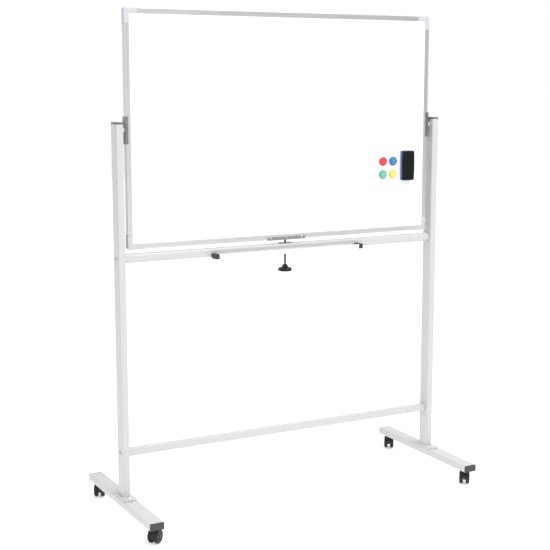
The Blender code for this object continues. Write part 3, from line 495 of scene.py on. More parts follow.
class Pattern(Graph):
    def __init__(self, name, inputs):
        super().__init__(bpy.data.node_groups.new(name, "GeometryNodeTree"))
        self.tree.is_modifier = True
        self.tree.interface.new_socket("Geometry", in_out="INPUT", socket_type="NodeSocketGeometry")
        for label, kind, value in inputs:
            socket = self.tree.interface.new_socket(label, in_out="INPUT", socket_type=f"NodeSocket{kind}")
            if value is not None:
                socket.default_value = value
        self.tree.interface.new_socket("Finish", in_out="INPUT", socket_type="NodeSocketMaterial")
        self.tree.interface.new_socket("Geometry", in_out="OUTPUT", socket_type="NodeSocketGeometry")
        self.given = self.node("NodeGroupInput", out="Geometry")

    def value(self, name):
        return self.given.other(name)

    def join(self, *wires):
        made = self.tree.nodes.new("GeometryNodeJoinGeometry")
        for wire in reversed(wires):
            self.tree.links.new(wire.socket, made.inputs[0])
        return Wire(self, made.outputs[0])

    def moved(self, shape, **change):
        return self.node("GeometryNodeTransform", None, {"Geometry": shape, **change})

    def vector(self, x=0.0, y=0.0, z=0.0):
        return self.node("ShaderNodeCombineXYZ", None, {"X": x, "Y": y, "Z": z})

    def finish(self, shape):  # the last nodes: real geometry with its material
        real = self.node("GeometryNodeRealizeInstances", None, {"Geometry": shape})
        painted = self.node("GeometryNodeSetMaterial", None, {"Geometry": real, "Material": self.value("Finish")})
        end = self.tree.nodes.new("NodeGroupOutput")
        self.tree.links.new(painted.socket, end.inputs[0])

    def grow(self, name, base, values, place=None):  # a plain mesh from the pattern on a base mesh
        item = placed(name, base)
        modifier = item.modifiers.new("pattern", "NODES")
        modifier.node_group = self.tree
        for socket in self.tree.interface.items_tree:
            if socket.in_out == "INPUT" and socket.name in values:
                modifier[socket.identifier] = values[socket.name]
        evaluated = item.evaluated_get(bpy.context.evaluated_depsgraph_get())
        mesh = bpy.data.meshes.new_from_object(evaluated)
        item.modifiers.remove(modifier)
        bpy.data.objects.remove(item, do_unlink=True)
        if place:
            mesh.transform(place)
        return mesh


def pointsMesh(name, places):  # a mesh of bare points, each with the way it faces
    mesh = bpy.data.meshes.new(name)
    mesh.from_pydata([where for where, facing in places], [], [])
    layer = mesh.attributes.new("facing", "FLOAT_VECTOR", "POINT")
    layer.data.foreach_set("vector", [part for where, facing in places for part in facing])
    return mesh


def onPoints(pattern, shape):  # the shape on every point, its Z along the point's facing
    facing = pattern.node("GeometryNodeInputNamedAttribute", {"data_type": "FLOAT_VECTOR"}, {"Name": "facing"})
    turn = pattern.node("FunctionNodeAlignRotationToVector", {"axis": "Z"}, {"Vector": facing})
    return pattern.node("GeometryNodeInstanceOnPoints", None,
                        {"Points": pattern.given, "Instance": shape, "Rotation": turn})


def boltPattern():  # hexagon head on a washer
    pattern = Pattern("hexBolts", (("Across Flats", "Float", 0.01), ("Head Height", "Float", 0.004),
                                   ("Washer Diameter", "Float", 0.0125), ("Washer Thickness", "Float", 0.0016)))
    reach = pattern.value("Across Flats") * (0.5 / math.cos(math.pi / 6))
    tall, thick = pattern.value("Head Height"), pattern.value("Washer Thickness")
    chamfer = tall * 0.16
    washer = pattern.node("GeometryNodeMeshCylinder", None,
                          {"Vertices": 40, "Radius": pattern.value("Washer Diameter") * 0.5, "Depth": thick})
    washer = pattern.moved(washer, Translation=pattern.vector(z=thick * 0.5))
    shank = pattern.node("GeometryNodeMeshCone", None,
                         {"Vertices": 6, "Radius Top": reach, "Radius Bottom": reach, "Depth": tall - chamfer})
    shank = pattern.moved(shank, Translation=pattern.vector(z=thick))
    crown = pattern.node("GeometryNodeMeshCone", None, {"Vertices": 6, "Radius Top": reach - chamfer * 1.3,
                                                        "Radius Bottom": reach, "Depth": chamfer})
    crown = pattern.moved(crown, Translation=pattern.vector(z=thick + tall - chamfer))
    dot = pattern.node("GeometryNodeMeshCylinder", None,
                       {"Vertices": 24, "Radius": reach * 0.62, "Depth": chamfer})
    dot = pattern.moved(dot, Translation=pattern.vector(z=thick + tall))
    pattern.finish(onPoints(pattern, pattern.join(washer, shank, crown, dot)))
    return pattern


def headPattern(name, recessed):  # domed head, with or without a cross recess
    pattern = Pattern(name, (("Head Diameter", "Float", 0.007), ("Head Height", "Float", 0.002),
                             ("Recess Width", "Float", 0.0011)))
    wide, tall = pattern.value("Head Diameter"), pattern.value("Head Height")
    slot = pattern.value("Recess Width")
    ball = pattern.node("GeometryNodeMeshUVSphere", None, {"Segments": 32, "Rings": 16, "Radius": 1.0})
    dome = pattern.moved(ball, Scale=pattern.vector(wide * 0.5, wide * 0.5, tall))
    lower = pattern.node("GeometryNodeMeshCube", None, {"Size": pattern.vector(wide * 2, wide * 2, tall * 2)})
    lower = pattern.moved(lower, Translation=pattern.vector(z=tall * -1))
    arms = []
    for first, second in ((wide * 0.56, slot), (slot, wide * 0.56)):
        arm = pattern.node("GeometryNodeMeshCube", None, {"Size": pattern.vector(first, second, tall)})
        arms.append(pattern.moved(arm, Translation=pattern.vector(z=tall * 0.95)))
    head = dome
    for cutter in (lower, *arms) if recessed else (lower,):
        made = pattern.tree.nodes.new("GeometryNodeMeshBoolean")
        made.operation = "DIFFERENCE"
        made.solver = "EXACT"
        pattern.tree.links.new(head.socket, made.inputs["Mesh 1"])
        pattern.tree.links.new(cutter.socket, made.inputs["Mesh 2"])
        head = Wire(pattern, made.outputs["Mesh"])
    pattern.finish(onPoints(pattern, head))
    return pattern


def threadPattern():  # a ridge wound round a rod along Z
    pattern = Pattern("screwThread", (("Radius", "Float", 0.004), ("Depth", "Float", 0.0006),
                                      ("Pitch", "Float", 0.00125), ("Length", "Float", 0.1)))
    radius, depth = pattern.value("Radius"), pattern.value("Depth")
    pitch, length = pattern.value("Pitch"), pattern.value("Length")
    coil = pattern.node("GeometryNodeCurveSpiral", None,
                        {"Resolution": 20, "Rotations": length / pitch, "Start Radius": radius - depth,
                         "End Radius": radius - depth, "Height": length})
    bead = pattern.node("GeometryNodeCurvePrimitiveCircle", {"mode": "RADIUS"},
                        {"Resolution": 4, "Radius": depth}, "Curve")
    ridge = pattern.node("GeometryNodeCurveToMesh", None,
                         {"Curve": coil, "Profile Curve": bead, "Fill Caps": True})
    pattern.finish(pattern.join(pattern.given, ridge))
    return pattern


def ribPattern():  # spokes round the hub of a wheel, on its outer face
    pattern = Pattern("hubRibs", (("Count", "Int", 8), ("Inner Radius", "Float", 0.006),
                                  ("Outer Radius", "Float", 0.016), ("Rib Width", "Float", 0.0014),
                                  ("Rib Height", "Float", 0.0014), ("Level", "Float", 0.015)))
    inner, outer = pattern.value("Inner Radius"), pattern.value("Outer Radius")
    spokes = pattern.node("GeometryNodeMeshCircle", None,
                          {"Vertices": pattern.value("Count"), "Radius": (inner + outer) * 0.5})
    size = pattern.vector(outer - inner, pattern.value("Rib Width"), pattern.value("Rib Height"))
    rib = pattern.node("GeometryNodeMeshCube", None, {"Size": size})
    spot = pattern.node("GeometryNodeInputPosition")
    turn = pattern.node("FunctionNodeAlignRotationToVector", {"axis": "X", "pivot_axis": "Z"}, {"Vector": spot})
    ribs = pattern.node("GeometryNodeInstanceOnPoints", None,
                        {"Points": spokes, "Instance": rib, "Rotation": turn})
    ribs = pattern.moved(ribs, Translation=pattern.vector(z=pattern.value("Level")))
    pattern.finish(pattern.join(pattern.given, ribs))
    return pattern


def layerPattern():  # felt sheets stacked along Z, each a little off its neighbour
    pattern = Pattern("feltLayers", (("Layers", "Int", 5), ("Layer Pitch", "Float", 0.0022),
                                     ("Shift", "Float", 0.0003), ("Seed", "Int", 7)))
    pitch, shift = pattern.value("Layer Pitch"), pattern.value("Shift")
    line = pattern.node("GeometryNodeMeshLine", None,
                        {"Count": pattern.value("Layers"), "Offset": pattern.vector(z=pitch)})
    sway = pattern.node("FunctionNodeRandomValue", {"data_type": "FLOAT_VECTOR"},
                        {0: (-1, -1, 0), 1: (1, 1, 0), "Seed": pattern.value("Seed")})
    sway = pattern.node("ShaderNodeVectorMath", {"operation": "MULTIPLY"},
                        {0: sway, 1: pattern.vector(shift, shift, 0.0)})
    line = pattern.node("GeometryNodeSetPosition", None, {"Geometry": line, "Offset": sway})
    stack = pattern.node("GeometryNodeInstanceOnPoints", None, {"Points": line, "Instance": pattern.given})
    pattern.finish(stack)
    return pattern


def railPattern():  # an extrusion: the given flat section drawn along Z
    pattern = Pattern("railSweep", (("Length", "Float", 1.0),))
    away = pattern.vector(z=pattern.value("Length"))
    drawn = pattern.node("GeometryNodeExtrudeMesh", {"mode": "FACES"},
                         {"Mesh": pattern.given, "Offset": away, "Offset Scale": 1.0, "Individual": False})
    start = pattern.node("GeometryNodeFlipFaces", None, {"Mesh": pattern.given})
    whole = pattern.node("GeometryNodeMergeByDistance", None,
                         {"Geometry": pattern.join(drawn, start), "Distance": 0.000001})
    pattern.finish(whole)
    return pattern


paint = paintFinish("whitePaint", (0.524, 0.520, 0.513), (0.552, 0.548, 0.541))
# The tray's paint is a brighter copy of the stand's white paint: painted light that lifts the tray and the shaded
# corner between the tray and the crossbar
trayPaint = paintFinish("trayPaint", (0.70, 0.695, 0.685), (0.73, 0.725, 0.715))
enamel = {"front": enamelFinish("sheetEnamelFront"), "back": enamelFinish("sheetEnamelBack")}
aluminium = {axis: aluminiumFinish(f"anodised{axis}", axis) for axis in ("X", "Z")}
cornerPlastic = mouldedFinish("cornerPlastic", (0.50, 0.50, 0.53), (0.60, 0.60, 0.63), 0.42)
capPlastic = mouldedFinish("capPlastic", (0.135, 0.135, 0.14), (0.24, 0.24, 0.25), 0.48)
footPlastic = mouldedFinish("footCapPlastic", (0.050, 0.050, 0.053), (0.11, 0.11, 0.115), 0.46, gloss=0.4)
trayPlastic = mouldedFinish("trayEndPlastic", (0.022, 0.022, 0.024), (0.07, 0.07, 0.07), 0.42)
knobPlastic = mouldedFinish("knobPlastic", (0.009, 0.009, 0.010), (0.04, 0.04, 0.04), 0.40, 1200.0, 0.00003, 0.3)
hoodPlastic = mouldedFinish("casterHood", (0.024, 0.024, 0.027), (0.07, 0.07, 0.07), 0.45, gloss=0.35)
hubPlastic = mouldedFinish("wheelHub", (0.036, 0.036, 0.041), (0.09, 0.09, 0.095), 0.42, gloss=0.4)
tread = treadFinish()
brushed = steelFinish("pressedSteel", (0.30, 0.30, 0.31), 0.36, (6.0, 700.0, 700.0), 0.9)
plated = steelFinish("zincPlate", (0.46, 0.46, 0.475), 0.34, (300.0, 300.0, 300.0))
brightBolt = steelFinish("brightBolt", (0.80, 0.80, 0.80), 0.30, (300.0, 300.0, 300.0), 0.6)
rodSteel = steelFinish("screwRod", (0.17, 0.17, 0.175), 0.36, (300.0, 300.0, 300.0))
bracketSteel = steelFinish("bracketSteel", (0.24, 0.24, 0.25), 0.40, (300.0, 300.0, 300.0))
bolts, threads = boltPattern(), threadPattern()
screws, rivets = headPattern("crossScrews", True), headPattern("domeRivets", False)
ribs, layers, sweep = ribPattern(), layerPattern(), railPattern()
print("finishes and patterns ready")


# Stand

standSpec = {"tubeEdge": 0.0003, "plateEdge": 0.0007, "topCapEdge": 0.0012, "footCapEdge": 0.0007,
             "weldSize": 0.0017, "weldRipple": 0.0024, "baseBoltSpacing": 0.086}


def weldBead(low, high, height, size, ripple):  # rippled fillet round the foot of an upright
    outline = ring(high.x - low.x, high.y - low.y, 0.003, 8)
    path = []
    for i, here in enumerate(outline):
        after = outline[(i + 1) % len(outline)]
        count = max(1, round((after - here).length / (ripple / 5)))
        path += [here.lerp(after, step / count) for step in range(count)]
    middle = (low + high) / 2
    walked = 0.0
    loops = []
    for i, here in enumerate(path):
        ahead = path[(i + 1) % len(path)] - path[i - 1]
        out = Vector((ahead.y, -ahead.x)).normalized()
        reach = size * (1 + 0.14 * math.sin(2 * math.pi * walked / ripple))
        walked += (path[(i + 1) % len(path)] - here).length
        loop = []
        for across, up in ((-0.1, 0.0), (1.0, 0.0), (0.86, 0.42), (0.55, 0.72), (0.25, 0.92), (-0.1, 1.0)):
            spot = here + out * across * reach
            loop.append((middle.x + spot.x, middle.y + spot.y, height + up * reach))
        loops.append(loop)
    return toMesh("weldBead", skin(bmesh.new(), loops, closed=True), angle=70)


boltPlaces, sidePlaces = [], []
for word, side in sides:
    low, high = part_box(f"upright_{word}")
    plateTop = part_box(f"base_plate_{word}")[1].z
    for node in (f"upright_{word}", f"foot_{word}"):
        recast(node, "tube", paint, "white_paint", standSpec["tubeEdge"], 2, 40)
    recast(f"base_plate_{word}", "steel", paint, "white_paint", standSpec["plateEdge"])
    weld = weldBead(low, high, plateTop, standSpec["weldSize"], standSpec["weldRipple"])
    piece(f"weld_bead_{word}", weld, "root", paint, "white_paint")
    recast(f"upright_cap_{word}", "moulding", capPlastic, "dark_plastic", standSpec["topCapEdge"])
    for end in ("front", "back"):
        recast(f"foot_cap_{end}_{word}", "moulding", footPlastic, "dark_plastic", standSpec["footCapEdge"])
    for across in (-1, 1):
        where = ((low.x + high.x) / 2, across * standSpec["baseBoltSpacing"] / 2, plateTop)
        boltPlaces.append((where, (0, 0, 1)))
    for bar in ("crossbar_lower", "crossbar_upper"):
        barLow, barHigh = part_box(bar)
        outer = low.x if side < 0 else high.x
        sidePlaces.append(((outer, 0, (barLow.z + barHigh.z) / 2), (side, 0, 0)))
for node in ("crossbar_lower", "crossbar_upper"):
    recast(node, "tube", paint, "white_paint", standSpec["tubeEdge"], 2, 40)
boltSizes = {"Across Flats": 0.010, "Head Height": 0.0040, "Washer Diameter": 0.0125, "Washer Thickness": 0.0014}
studs("base_plate_bolts", bolts, boltPlaces, boltSizes, brightBolt, "zinc")
sideSizes = {**boltSizes, "Head Height": 0.0030, "Washer Diameter": 0.014, "Washer Thickness": 0.001}
studs("crossbar_bolts", bolts, sidePlaces, sideSizes, paint, "white_paint")
print("stand ready")


# Pen tray

traySpec = {"sheet": 0.0012, "foldEdge": 0.0004, "capEdge": 0.0009, "rivets": 5, "rivetMargin": 0.045,
            "rivetHeight": 0.0118}
trayLow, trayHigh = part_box("pen_tray")
# painted light: the tray wears the brighter copy of the white paint
recast("pen_tray", "sheet", trayPaint, "white_paint", traySpec["foldEdge"])
for word, side in sides:
    recast(f"tray_cap_{word}", "moulding", trayPlastic, "dark_plastic", traySpec["capEdge"])
wallFace = trayHigh.y - traySpec["sheet"]
reach = trayHigh.x - traySpec["rivetMargin"]
rivetPlaces = []
for step in range(traySpec["rivets"]):
    along = -reach + 2 * reach * step / (traySpec["rivets"] - 1)
    rivetPlaces.append(((along, wallFace, trayLow.z + traySpec["rivetHeight"]), (0, -1, 0)))
studs("tray_rivets", rivets, rivetPlaces, {"Head Diameter": 0.0062, "Head Height": 0.0013}, paint, "white_paint")
print("tray ready")


# Board

pivotHeight = joints["board_flip"]["pos_m"][2]
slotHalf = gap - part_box("sheet_front")[0].y
railSpec = {"face": 0.018, "wall": 0.0013, "chamber": 0.0075, "halfThick": 0.010, "edge": 0.0024,
            "grooves": (0.0098,), "grooveWidth": 0.0012, "grooveDepth": 0.0006, "pinHole": 0.0106}


def railOutlines(spec):  # outer line and chamber, as (inward, across) from the outer face
    half, deep = spec["halfThick"], spec["grooveDepth"]
    front = []
    for place in spec["grooves"]:
        near, far = place - spec["grooveWidth"] / 2, place + spec["grooveWidth"] / 2
        front += [(near, half), (near + deep / 2, half - deep), (far - deep / 2, half - deep), (far, half)]
    inner = spec["face"]
    corners = [(0, -half)] + [(x, -y) for x, y in front] + [(inner, -half), (inner, -slotHalf)]
    corners += [(spec["chamber"], -slotHalf), (spec["chamber"], slotHalf), (inner, slotHalf), (inner, half)]
    corners += front[::-1] + [(0, half)]
    radii = [spec["edge"]] + [0] * (len(corners) - 2) + [spec["edge"]]
    inside = [(spec["wall"], -slotHalf), (spec["chamber"] - spec["wall"], -slotHalf),
              (spec["chamber"] - spec["wall"], slotHalf), (spec["wall"], slotHalf)]
    return eased(corners, radii, 5), [Vector(point) for point in inside]


for edge, word in enumerate(("right", "top", "left", "bottom")):
    low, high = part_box(f"rail_{word}")
    upright = edge in (0, 2)
    length = high.z - low.z if upright else high.x - low.x
    bar = sweep.grow(word, flatFace(*railOutlines(railSpec)), {"Length": length, "Finish": aluminium["X"]})
    bar.transform(Matrix.Translation((0, 0, -length / 2)) @ Matrix.Rotation(math.pi, 4, "Z"))
    if upright:
        bm = bmesh.new()
        prism(bm, circle(railSpec["pinHole"] / 2, 40), -0.004, 0.004, Matrix.Rotation(math.pi / 2, 4, "Y"))
        bar = cut(bar, toMesh("pinHole", bm))
    turn = -edge * math.pi / 2
    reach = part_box("rail_right")[1].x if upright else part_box("rail_top")[1].z - pivotHeight
    where = Vector((reach * math.cos(turn), 0, pivotHeight - reach * math.sin(turn)))
    bar.transform(Matrix.Translation(where) @ Matrix.Rotation(turn, 4, "Y"))
    finish = aluminium["Z" if upright else "X"]
    piece(f"rail_{word}_extrusion", evened(bar), "board", finish, "aluminium", f"rail_{word}")

cornerSpec = {"leg": 0.050, "radius": 0.009, "innerRadius": 0.004, "proud": 0.0004, "edge": 0.0016,
              "tongue": 0.024}


def cornerMesh(spec):  # top right corner about the board's outer corner, legs towards -X and -Z
    leg, proud, edge = spec["leg"], spec["proud"], spec["edge"]
    half, face = railSpec["halfThick"] + proud, railSpec["face"] + proud
    outline = eased([(-leg, proud), (proud, proud), (proud, -leg), (-face, -leg), (-face, -face), (-leg, -face)],
                    [1.7 * edge, spec["radius"], 1.7 * edge, 1.7 * edge, spec["innerRadius"], 1.7 * edge], 9)
    levels = []
    for step in range(5):
        angle = math.pi / 2 * step / 4
        levels.append((edge * (1 - math.sin(angle)), half - edge * (1 - math.cos(angle))))
    loops = []
    for inward, height in levels + [(inward, -height) for inward, height in reversed(levels)]:
        loops.append([(x, -height, z) for x, z in inset(outline, inward)])
    bm = bmesh.new()
    skin(bm, loops)
    body = toMesh("corner", bm)
    far = 2 * leg
    pocket = block((-far, -slotHalf, -far), (-railSpec["chamber"], slotHalf, -railSpec["chamber"]))
    near = railSpec["wall"] + gap
    deep = railSpec["chamber"] - railSpec["wall"] - gap
    broad, reach, root = slotHalf - gap, leg + spec["tongue"], leg - spec["tongue"]
    tongues = [block((-reach, -broad, -deep), (-root, broad, -near)),
               block((-deep, -broad, -reach), (-near, broad, -root))]
    return united([cut(body, pocket), *tongues])


cornerBody = cornerMesh(cornerSpec)
cornerTurns = (("top_right", 1, 1), ("top_left", -1, 1), ("bottom_left", -1, -1), ("bottom_right", 1, -1))
for turn, (word, right, up) in enumerate(cornerTurns):
    low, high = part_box(f"corner_{word}")
    where = ((high.x if right > 0 else low.x) - right * cornerSpec["proud"], 0,
             (high.z if up > 0 else low.z) - up * cornerSpec["proud"])
    mesh = cornerBody.copy()
    mesh.transform(Matrix.Translation(where) @ Matrix.Rotation(-turn * math.pi / 2, 4, "Y"))
    piece(f"corner_{word}_moulding", mesh, "board", cornerPlastic, "grey_plastic", f"corner_{word}")

screwSpec = {"beyondCorner": 0.012, "headDiameter": 0.0058, "headHeight": 0.00034, "recess": 0.0009}
screwPlaces = []
for edge, word in enumerate(("right", "top", "left", "bottom")):
    low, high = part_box(f"rail_{word}")
    for end in (-1, 1):
        if edge in (0, 2):
            height = (high.z if end > 0 else low.z) - end * screwSpec["beyondCorner"]
            screwPlaces.append(((high.x if edge == 0 else low.x, 0, height), (1 - edge, 0, 0)))
        else:
            across = (high.x if end > 0 else low.x) - end * screwSpec["beyondCorner"]
            screwPlaces.append(((across, 0, high.z if edge == 1 else low.z), (0, 0, 2 - edge)))
screwSizes = {"Head Diameter": screwSpec["headDiameter"], "Head Height": screwSpec["headHeight"],
              "Recess Width": screwSpec["recess"]}
studs("rail_end_screws", screws, screwPlaces, screwSizes, plated, "zinc", "board")
dress(enamel["front"], "sheet_front")
dress(enamel["back"], "sheet_back")
dress(cardFinish(), "board_core")
print("board ready")


# Pivots

pivotSpec = {"bracketEdge": 0.0005, "screwSpacing": 0.068, "headDiameter": 0.0076, "headHeight": 0.0022,
             "recess": 0.0012, "flangeRadius": 0.010, "sleeveRadius": 0.008, "bore": 0.0053, "flange": 0.0111,
             "groove": 0.0005}


def bushMesh(spec, length):  # flanged bearing, its flange starting at z = 0
    r, flange, groove = spec["flangeRadius"], spec["flange"], spec["groove"]
    outline = [(spec["bore"], 0), (r - 0.0009, 0), (r - 0.0003, 0.0003), (r, 0.0010)]
    for level in (0.35, 0.65):
        middle = flange * level
        outline += [(r, middle - groove), (r - groove, middle - groove / 2),
                    (r - groove, middle + groove / 2), (r, middle + groove)]
    outline += [(r, flange - 0.0006), (r - 0.0006, flange), (spec["sleeveRadius"], flange),
                (spec["sleeveRadius"], length - 0.0008), (spec["sleeveRadius"] - 0.0008, length),
                (spec["bore"], length)]
    return toMesh("bush", lathe(outline, 56))


headPlaces = []
for word, side in sides:
    low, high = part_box(f"pivot_bush_{word}")
    start = low.x if side > 0 else high.x
    place = frameAlong((side, 0, 0), (start, 0, pivotHeight))
    bush = bushMesh(pivotSpec, high.x - low.x)
    bush.transform(place)
    piece(f"pivot_bush_{word}_bearing", bush, "root", cornerPlastic, "grey_plastic", f"pivot_bush_{word}")
    node = f"pivot_bracket_{word}"
    low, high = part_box(node)
    recast(node, "pressing", bracketSteel, "zinc", pivotSpec["bracketEdge"], 2, body="board")
    for end in (-1, 1):
        where = (high.x if side > 0 else low.x, 0, pivotHeight + end * pivotSpec["screwSpacing"] / 2)
        headPlaces.append((where, (side, 0, 0)))
headSizes = {"Head Diameter": pivotSpec["headDiameter"], "Head Height": pivotSpec["headHeight"],
             "Recess Width": pivotSpec["recess"]}
studs("bracket_screws", screws, headPlaces, headSizes, plated, "zinc", "board")
dress(plated, "pivot_pin_left", "pivot_pin_right")
print("pivots ready")


# Clamp

clampSpec = {"sheetEdge": 0.0004, "rodRadius": 0.004, "neckRadius": 0.003, "threadDepth": 0.00055,
             "threadPitch": 0.00125, "plate": (0.050, 0.022, 0.0015), "plateScrews": 0.034,
             "knobRadius": 0.025, "knobDisc": 0.015, "lobes": 7, "lobeDepth": 0.0016, "nutWidth": 0.013}


def rodMesh(spec, bottom, top, shoulder):  # plain core with a neck; the thread is wound on it afterwards
    core = spec["rodRadius"] - spec["threadDepth"]
    outline = [(0, bottom), (core - 0.0005, bottom), (core, bottom + 0.0005), (core, shoulder - 0.004),
               (spec["rodRadius"], shoulder - 0.0035), (spec["rodRadius"], shoulder - 0.0003),
               (spec["rodRadius"] - 0.0003, shoulder), (spec["neckRadius"], shoulder),
               (spec["neckRadius"], top - 0.0004), (spec["neckRadius"] - 0.0004, top), (0, top)]
    return toMesh("rod", lathe(outline, 36))


def knobMesh(spec, height, floor):  # soft lobed grip, blind bore from above, hollow underside
    radius, disc = spec["knobRadius"], spec["knobDisc"]
    outline = eased([(0, floor), (0.0043, floor), (0.0043, height), (0.0080, height), (0.0102, disc + 0.0030),
                     (0.0165, disc - 0.0012), (radius, disc - 0.0026), (radius, 0.0012), (0.0175, 0.0012),
                     (0.0155, 0.0036), (0.0090, 0.0032), (0, 0.0032)],
                    [0, 0, 0.0005, 0.0012, 0.0030, 0.0040, 0.0056, 0.0056, 0.0014, 0.0014, 0, 0], 8)
    outline[0], outline[-1] = Vector((0, outline[0].y)), Vector((0, outline[-1].y))

    def lobed(reach, angle):
        share = max(0.0, 2.4 * reach / radius - 1.4)
        return reach - share * spec["lobeDepth"] * (1 - math.cos(spec["lobes"] * angle)) / 2

    return toMesh("knob", lathe(outline, 24 * spec["lobes"], lobed), angle=40)


def nutMesh(width, height, bore):  # hexagon with both faces chamfered
    def sixSided(reach, angle):
        if reach < width / 2:
            return reach
        local = (angle % (math.pi / 3)) - math.pi / 6
        return min(reach, width / 2 / math.cos(local))

    corner = width / math.sqrt(3)
    drop = 0.0007
    outline = [(bore, 0.0005), (bore + 0.0005, 0), (width / 2 - 0.0001, 0), (corner, drop),
               (corner, height - drop), (width / 2 - 0.0001, height), (bore + 0.0005, height),
               (bore, height - 0.0005)]
    return toMesh("nut", lathe(outline, 72, sixSided), angle=25)


piece("clamp_pressing", eased3d("clamp_channel", clampSpec["sheetEdge"], 2), "clamp", brushed, "brushed_steel",
      "clamp_channel")
low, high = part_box("clamp_rod")
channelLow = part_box("clamp_channel")[0]
shoulder = channelLow.z - gap
threadLength = shoulder - 0.004 - low.z
threadSizes = {"Radius": clampSpec["rodRadius"], "Depth": clampSpec["threadDepth"],
               "Pitch": clampSpec["threadPitch"], "Length": threadLength, "Finish": rodSteel}
core = rodMesh(clampSpec, 0.0, high.z - low.z, shoulder - low.z)
rod = threads.grow("rod", core, threadSizes, Matrix.Translation((0, 0, low.z)))
piece("clamp_screw_rod", smoothed(rod, 50), "screw", rodSteel, "zinc", "clamp_rod")
low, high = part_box("clamp_knob")
knob = knobMesh(clampSpec, high.z - low.z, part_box("clamp_rod")[0].z - low.z - gap)
knob.transform(Matrix.Translation((0, 0, low.z)))
piece("clamp_hand_knob", knob, "screw", knobPlastic, "black_plastic", "clamp_knob")
low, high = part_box("clamp_nut")
nut = nutMesh(clampSpec["nutWidth"], high.z - low.z, clampSpec["rodRadius"] + gap)
nut.transform(Matrix.Translation((0, 0, low.z)))
piece("clamp_hex_nut", nut, "root", plated, "zinc", "clamp_nut")

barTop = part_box("crossbar_upper")[1].z
plateLong, plateWide, plateThick = clampSpec["plate"]
base = flatFace(ring(plateLong, plateWide, 0.003, 5), circle(clampSpec["rodRadius"] + 0.0007, 40))
plate = sweep.grow("plate", base, {"Length": plateThick, "Finish": plated})
plate.transform(Matrix.Translation((0, 0, barTop + gap)))
piece("guide_plate", smoothed(plate), "root", bracketSteel, "zinc")
plateTop = barTop + gap + plateThick
guidePlaces = [((side * clampSpec["plateScrews"] / 2, 0, plateTop), (0, 0, 1)) for word, side in sides]
guideSizes = {"Head Diameter": 0.006, "Head Height": 0.0005, "Recess Width": 0.001}
studs("guide_screws", screws, guidePlaces, guideSizes, plated, "zinc")
print("clamp ready")


# Magnets and eraser

magnetSpec = {"radius": 0.016, "thickness": 0.008, "shoulder": 0.0052, "rimRadius": 0.0128, "disc": 0.0118}
magnetColours = {"red": ((0.72, 0.045, 0.065), (0.50, 0.022, 0.045)),
                 "blue": ((0.060, 0.225, 0.50), (0.028, 0.125, 0.33)),
                 "green": ((0.165, 0.50, 0.36), (0.085, 0.35, 0.25)),
                 "yellow": ((0.80, 0.68, 0.18), (0.70, 0.55, 0.12))}


def magnetMesh(spec):  # button about Z with a rounded shoulder, a rim and a faintly domed middle
    r, thick = spec["radius"], spec["thickness"]
    outline = eased([(0, 0), (r, 0), (r, spec["shoulder"]), (spec["rimRadius"] + 0.0008, thick - 0.0003),
                     (spec["rimRadius"], thick), (spec["rimRadius"] - 0.0009, thick),
                     (spec["disc"] - 0.0004, thick - 0.0007), (spec["disc"] - 0.0020, thick - 0.0006),
                     (0, thick - 0.0002)],
                    [0, 0.0008, 0.0028, 0.0006, 0.0004, 0.0004, 0.0003, 0.0005, 0], 5)
    return toMesh("magnet", lathe(outline, 72), angle=40)


for colour, (tint, rim) in magnetColours.items():
    node = f"magnet_{colour}"
    low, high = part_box(node)
    middle = ((low.x + high.x) / 2, high.y, (low.z + high.z) / 2)
    mesh = magnetMesh(magnetSpec)
    mesh.transform(frameAlong((0, -1, 0), middle))
    finish = magnetFinish(colour, tint, rim, middle, magnetSpec["radius"])
    piece(f"{node}_button", mesh, f"magnet_{colour}", finish, f"{colour}_plastic", node)

eraserSpec = {"corner": 0.0052, "bow": 0.0015, "layers": 5, "edge": 0.0045, "sideGrooves": (0.0030, 0.0055),
              "grooveDepth": 0.0006, "panelInset": 0.0080, "panelDepth": 0.0005,
              "feltMargin": 0.0003, "feltSoft": 0.32, "feltSeed": 7}


def dense(outline, parts):  # the same outline with its long edges split up
    path = []
    for i, here in enumerate(outline):
        after = outline[(i + 1) % len(outline)]
        count = parts if (after - here).length > 0.008 else 1
        path += [here.lerp(after, part / count) for part in range(count)]
    return path


def shellMesh(spec, width, length, thick):  # bowed grip about Z with side grooves and a sunk panel
    edge, deep = spec["edge"], spec["grooveDepth"]
    sections = [(0.0, 0.0004), (0.0004, 0.0)]
    for middle in spec["sideGrooves"]:
        sections += [(middle - 0.0007, 0.0), (middle - 0.0003, deep), (middle + 0.0003, deep),
                     (middle + 0.0007, 0.0)]
    for step in range(6):
        angle = math.pi / 2 * step / 5
        sections.append((thick - edge + edge * math.sin(angle), edge * (1 - math.cos(angle))))
    panel = spec["panelInset"]
    sections += [(thick, panel - 0.0008), (thick - 0.0002, panel - 0.0003), (thick - spec["panelDepth"], panel)]
    loops = []
    for height, inward in sections:
        soft = max(spec["corner"] - inward, 0.0014)
        level = ring(width - 2 * spec["bow"] - 2 * inward, length - 2 * inward, soft, 7)
        loop = []
        for x, y in dense(level, 16):
            swell = spec["bow"] * (1 - (2 * y / length) ** 2)
            loop.append((x + swell * max(-1.0, min(1.0, x / (width * 0.42))), y, height))
        loops.append(loop)
    return toMesh("shell", skin(bmesh.new(), loops), angle=40)


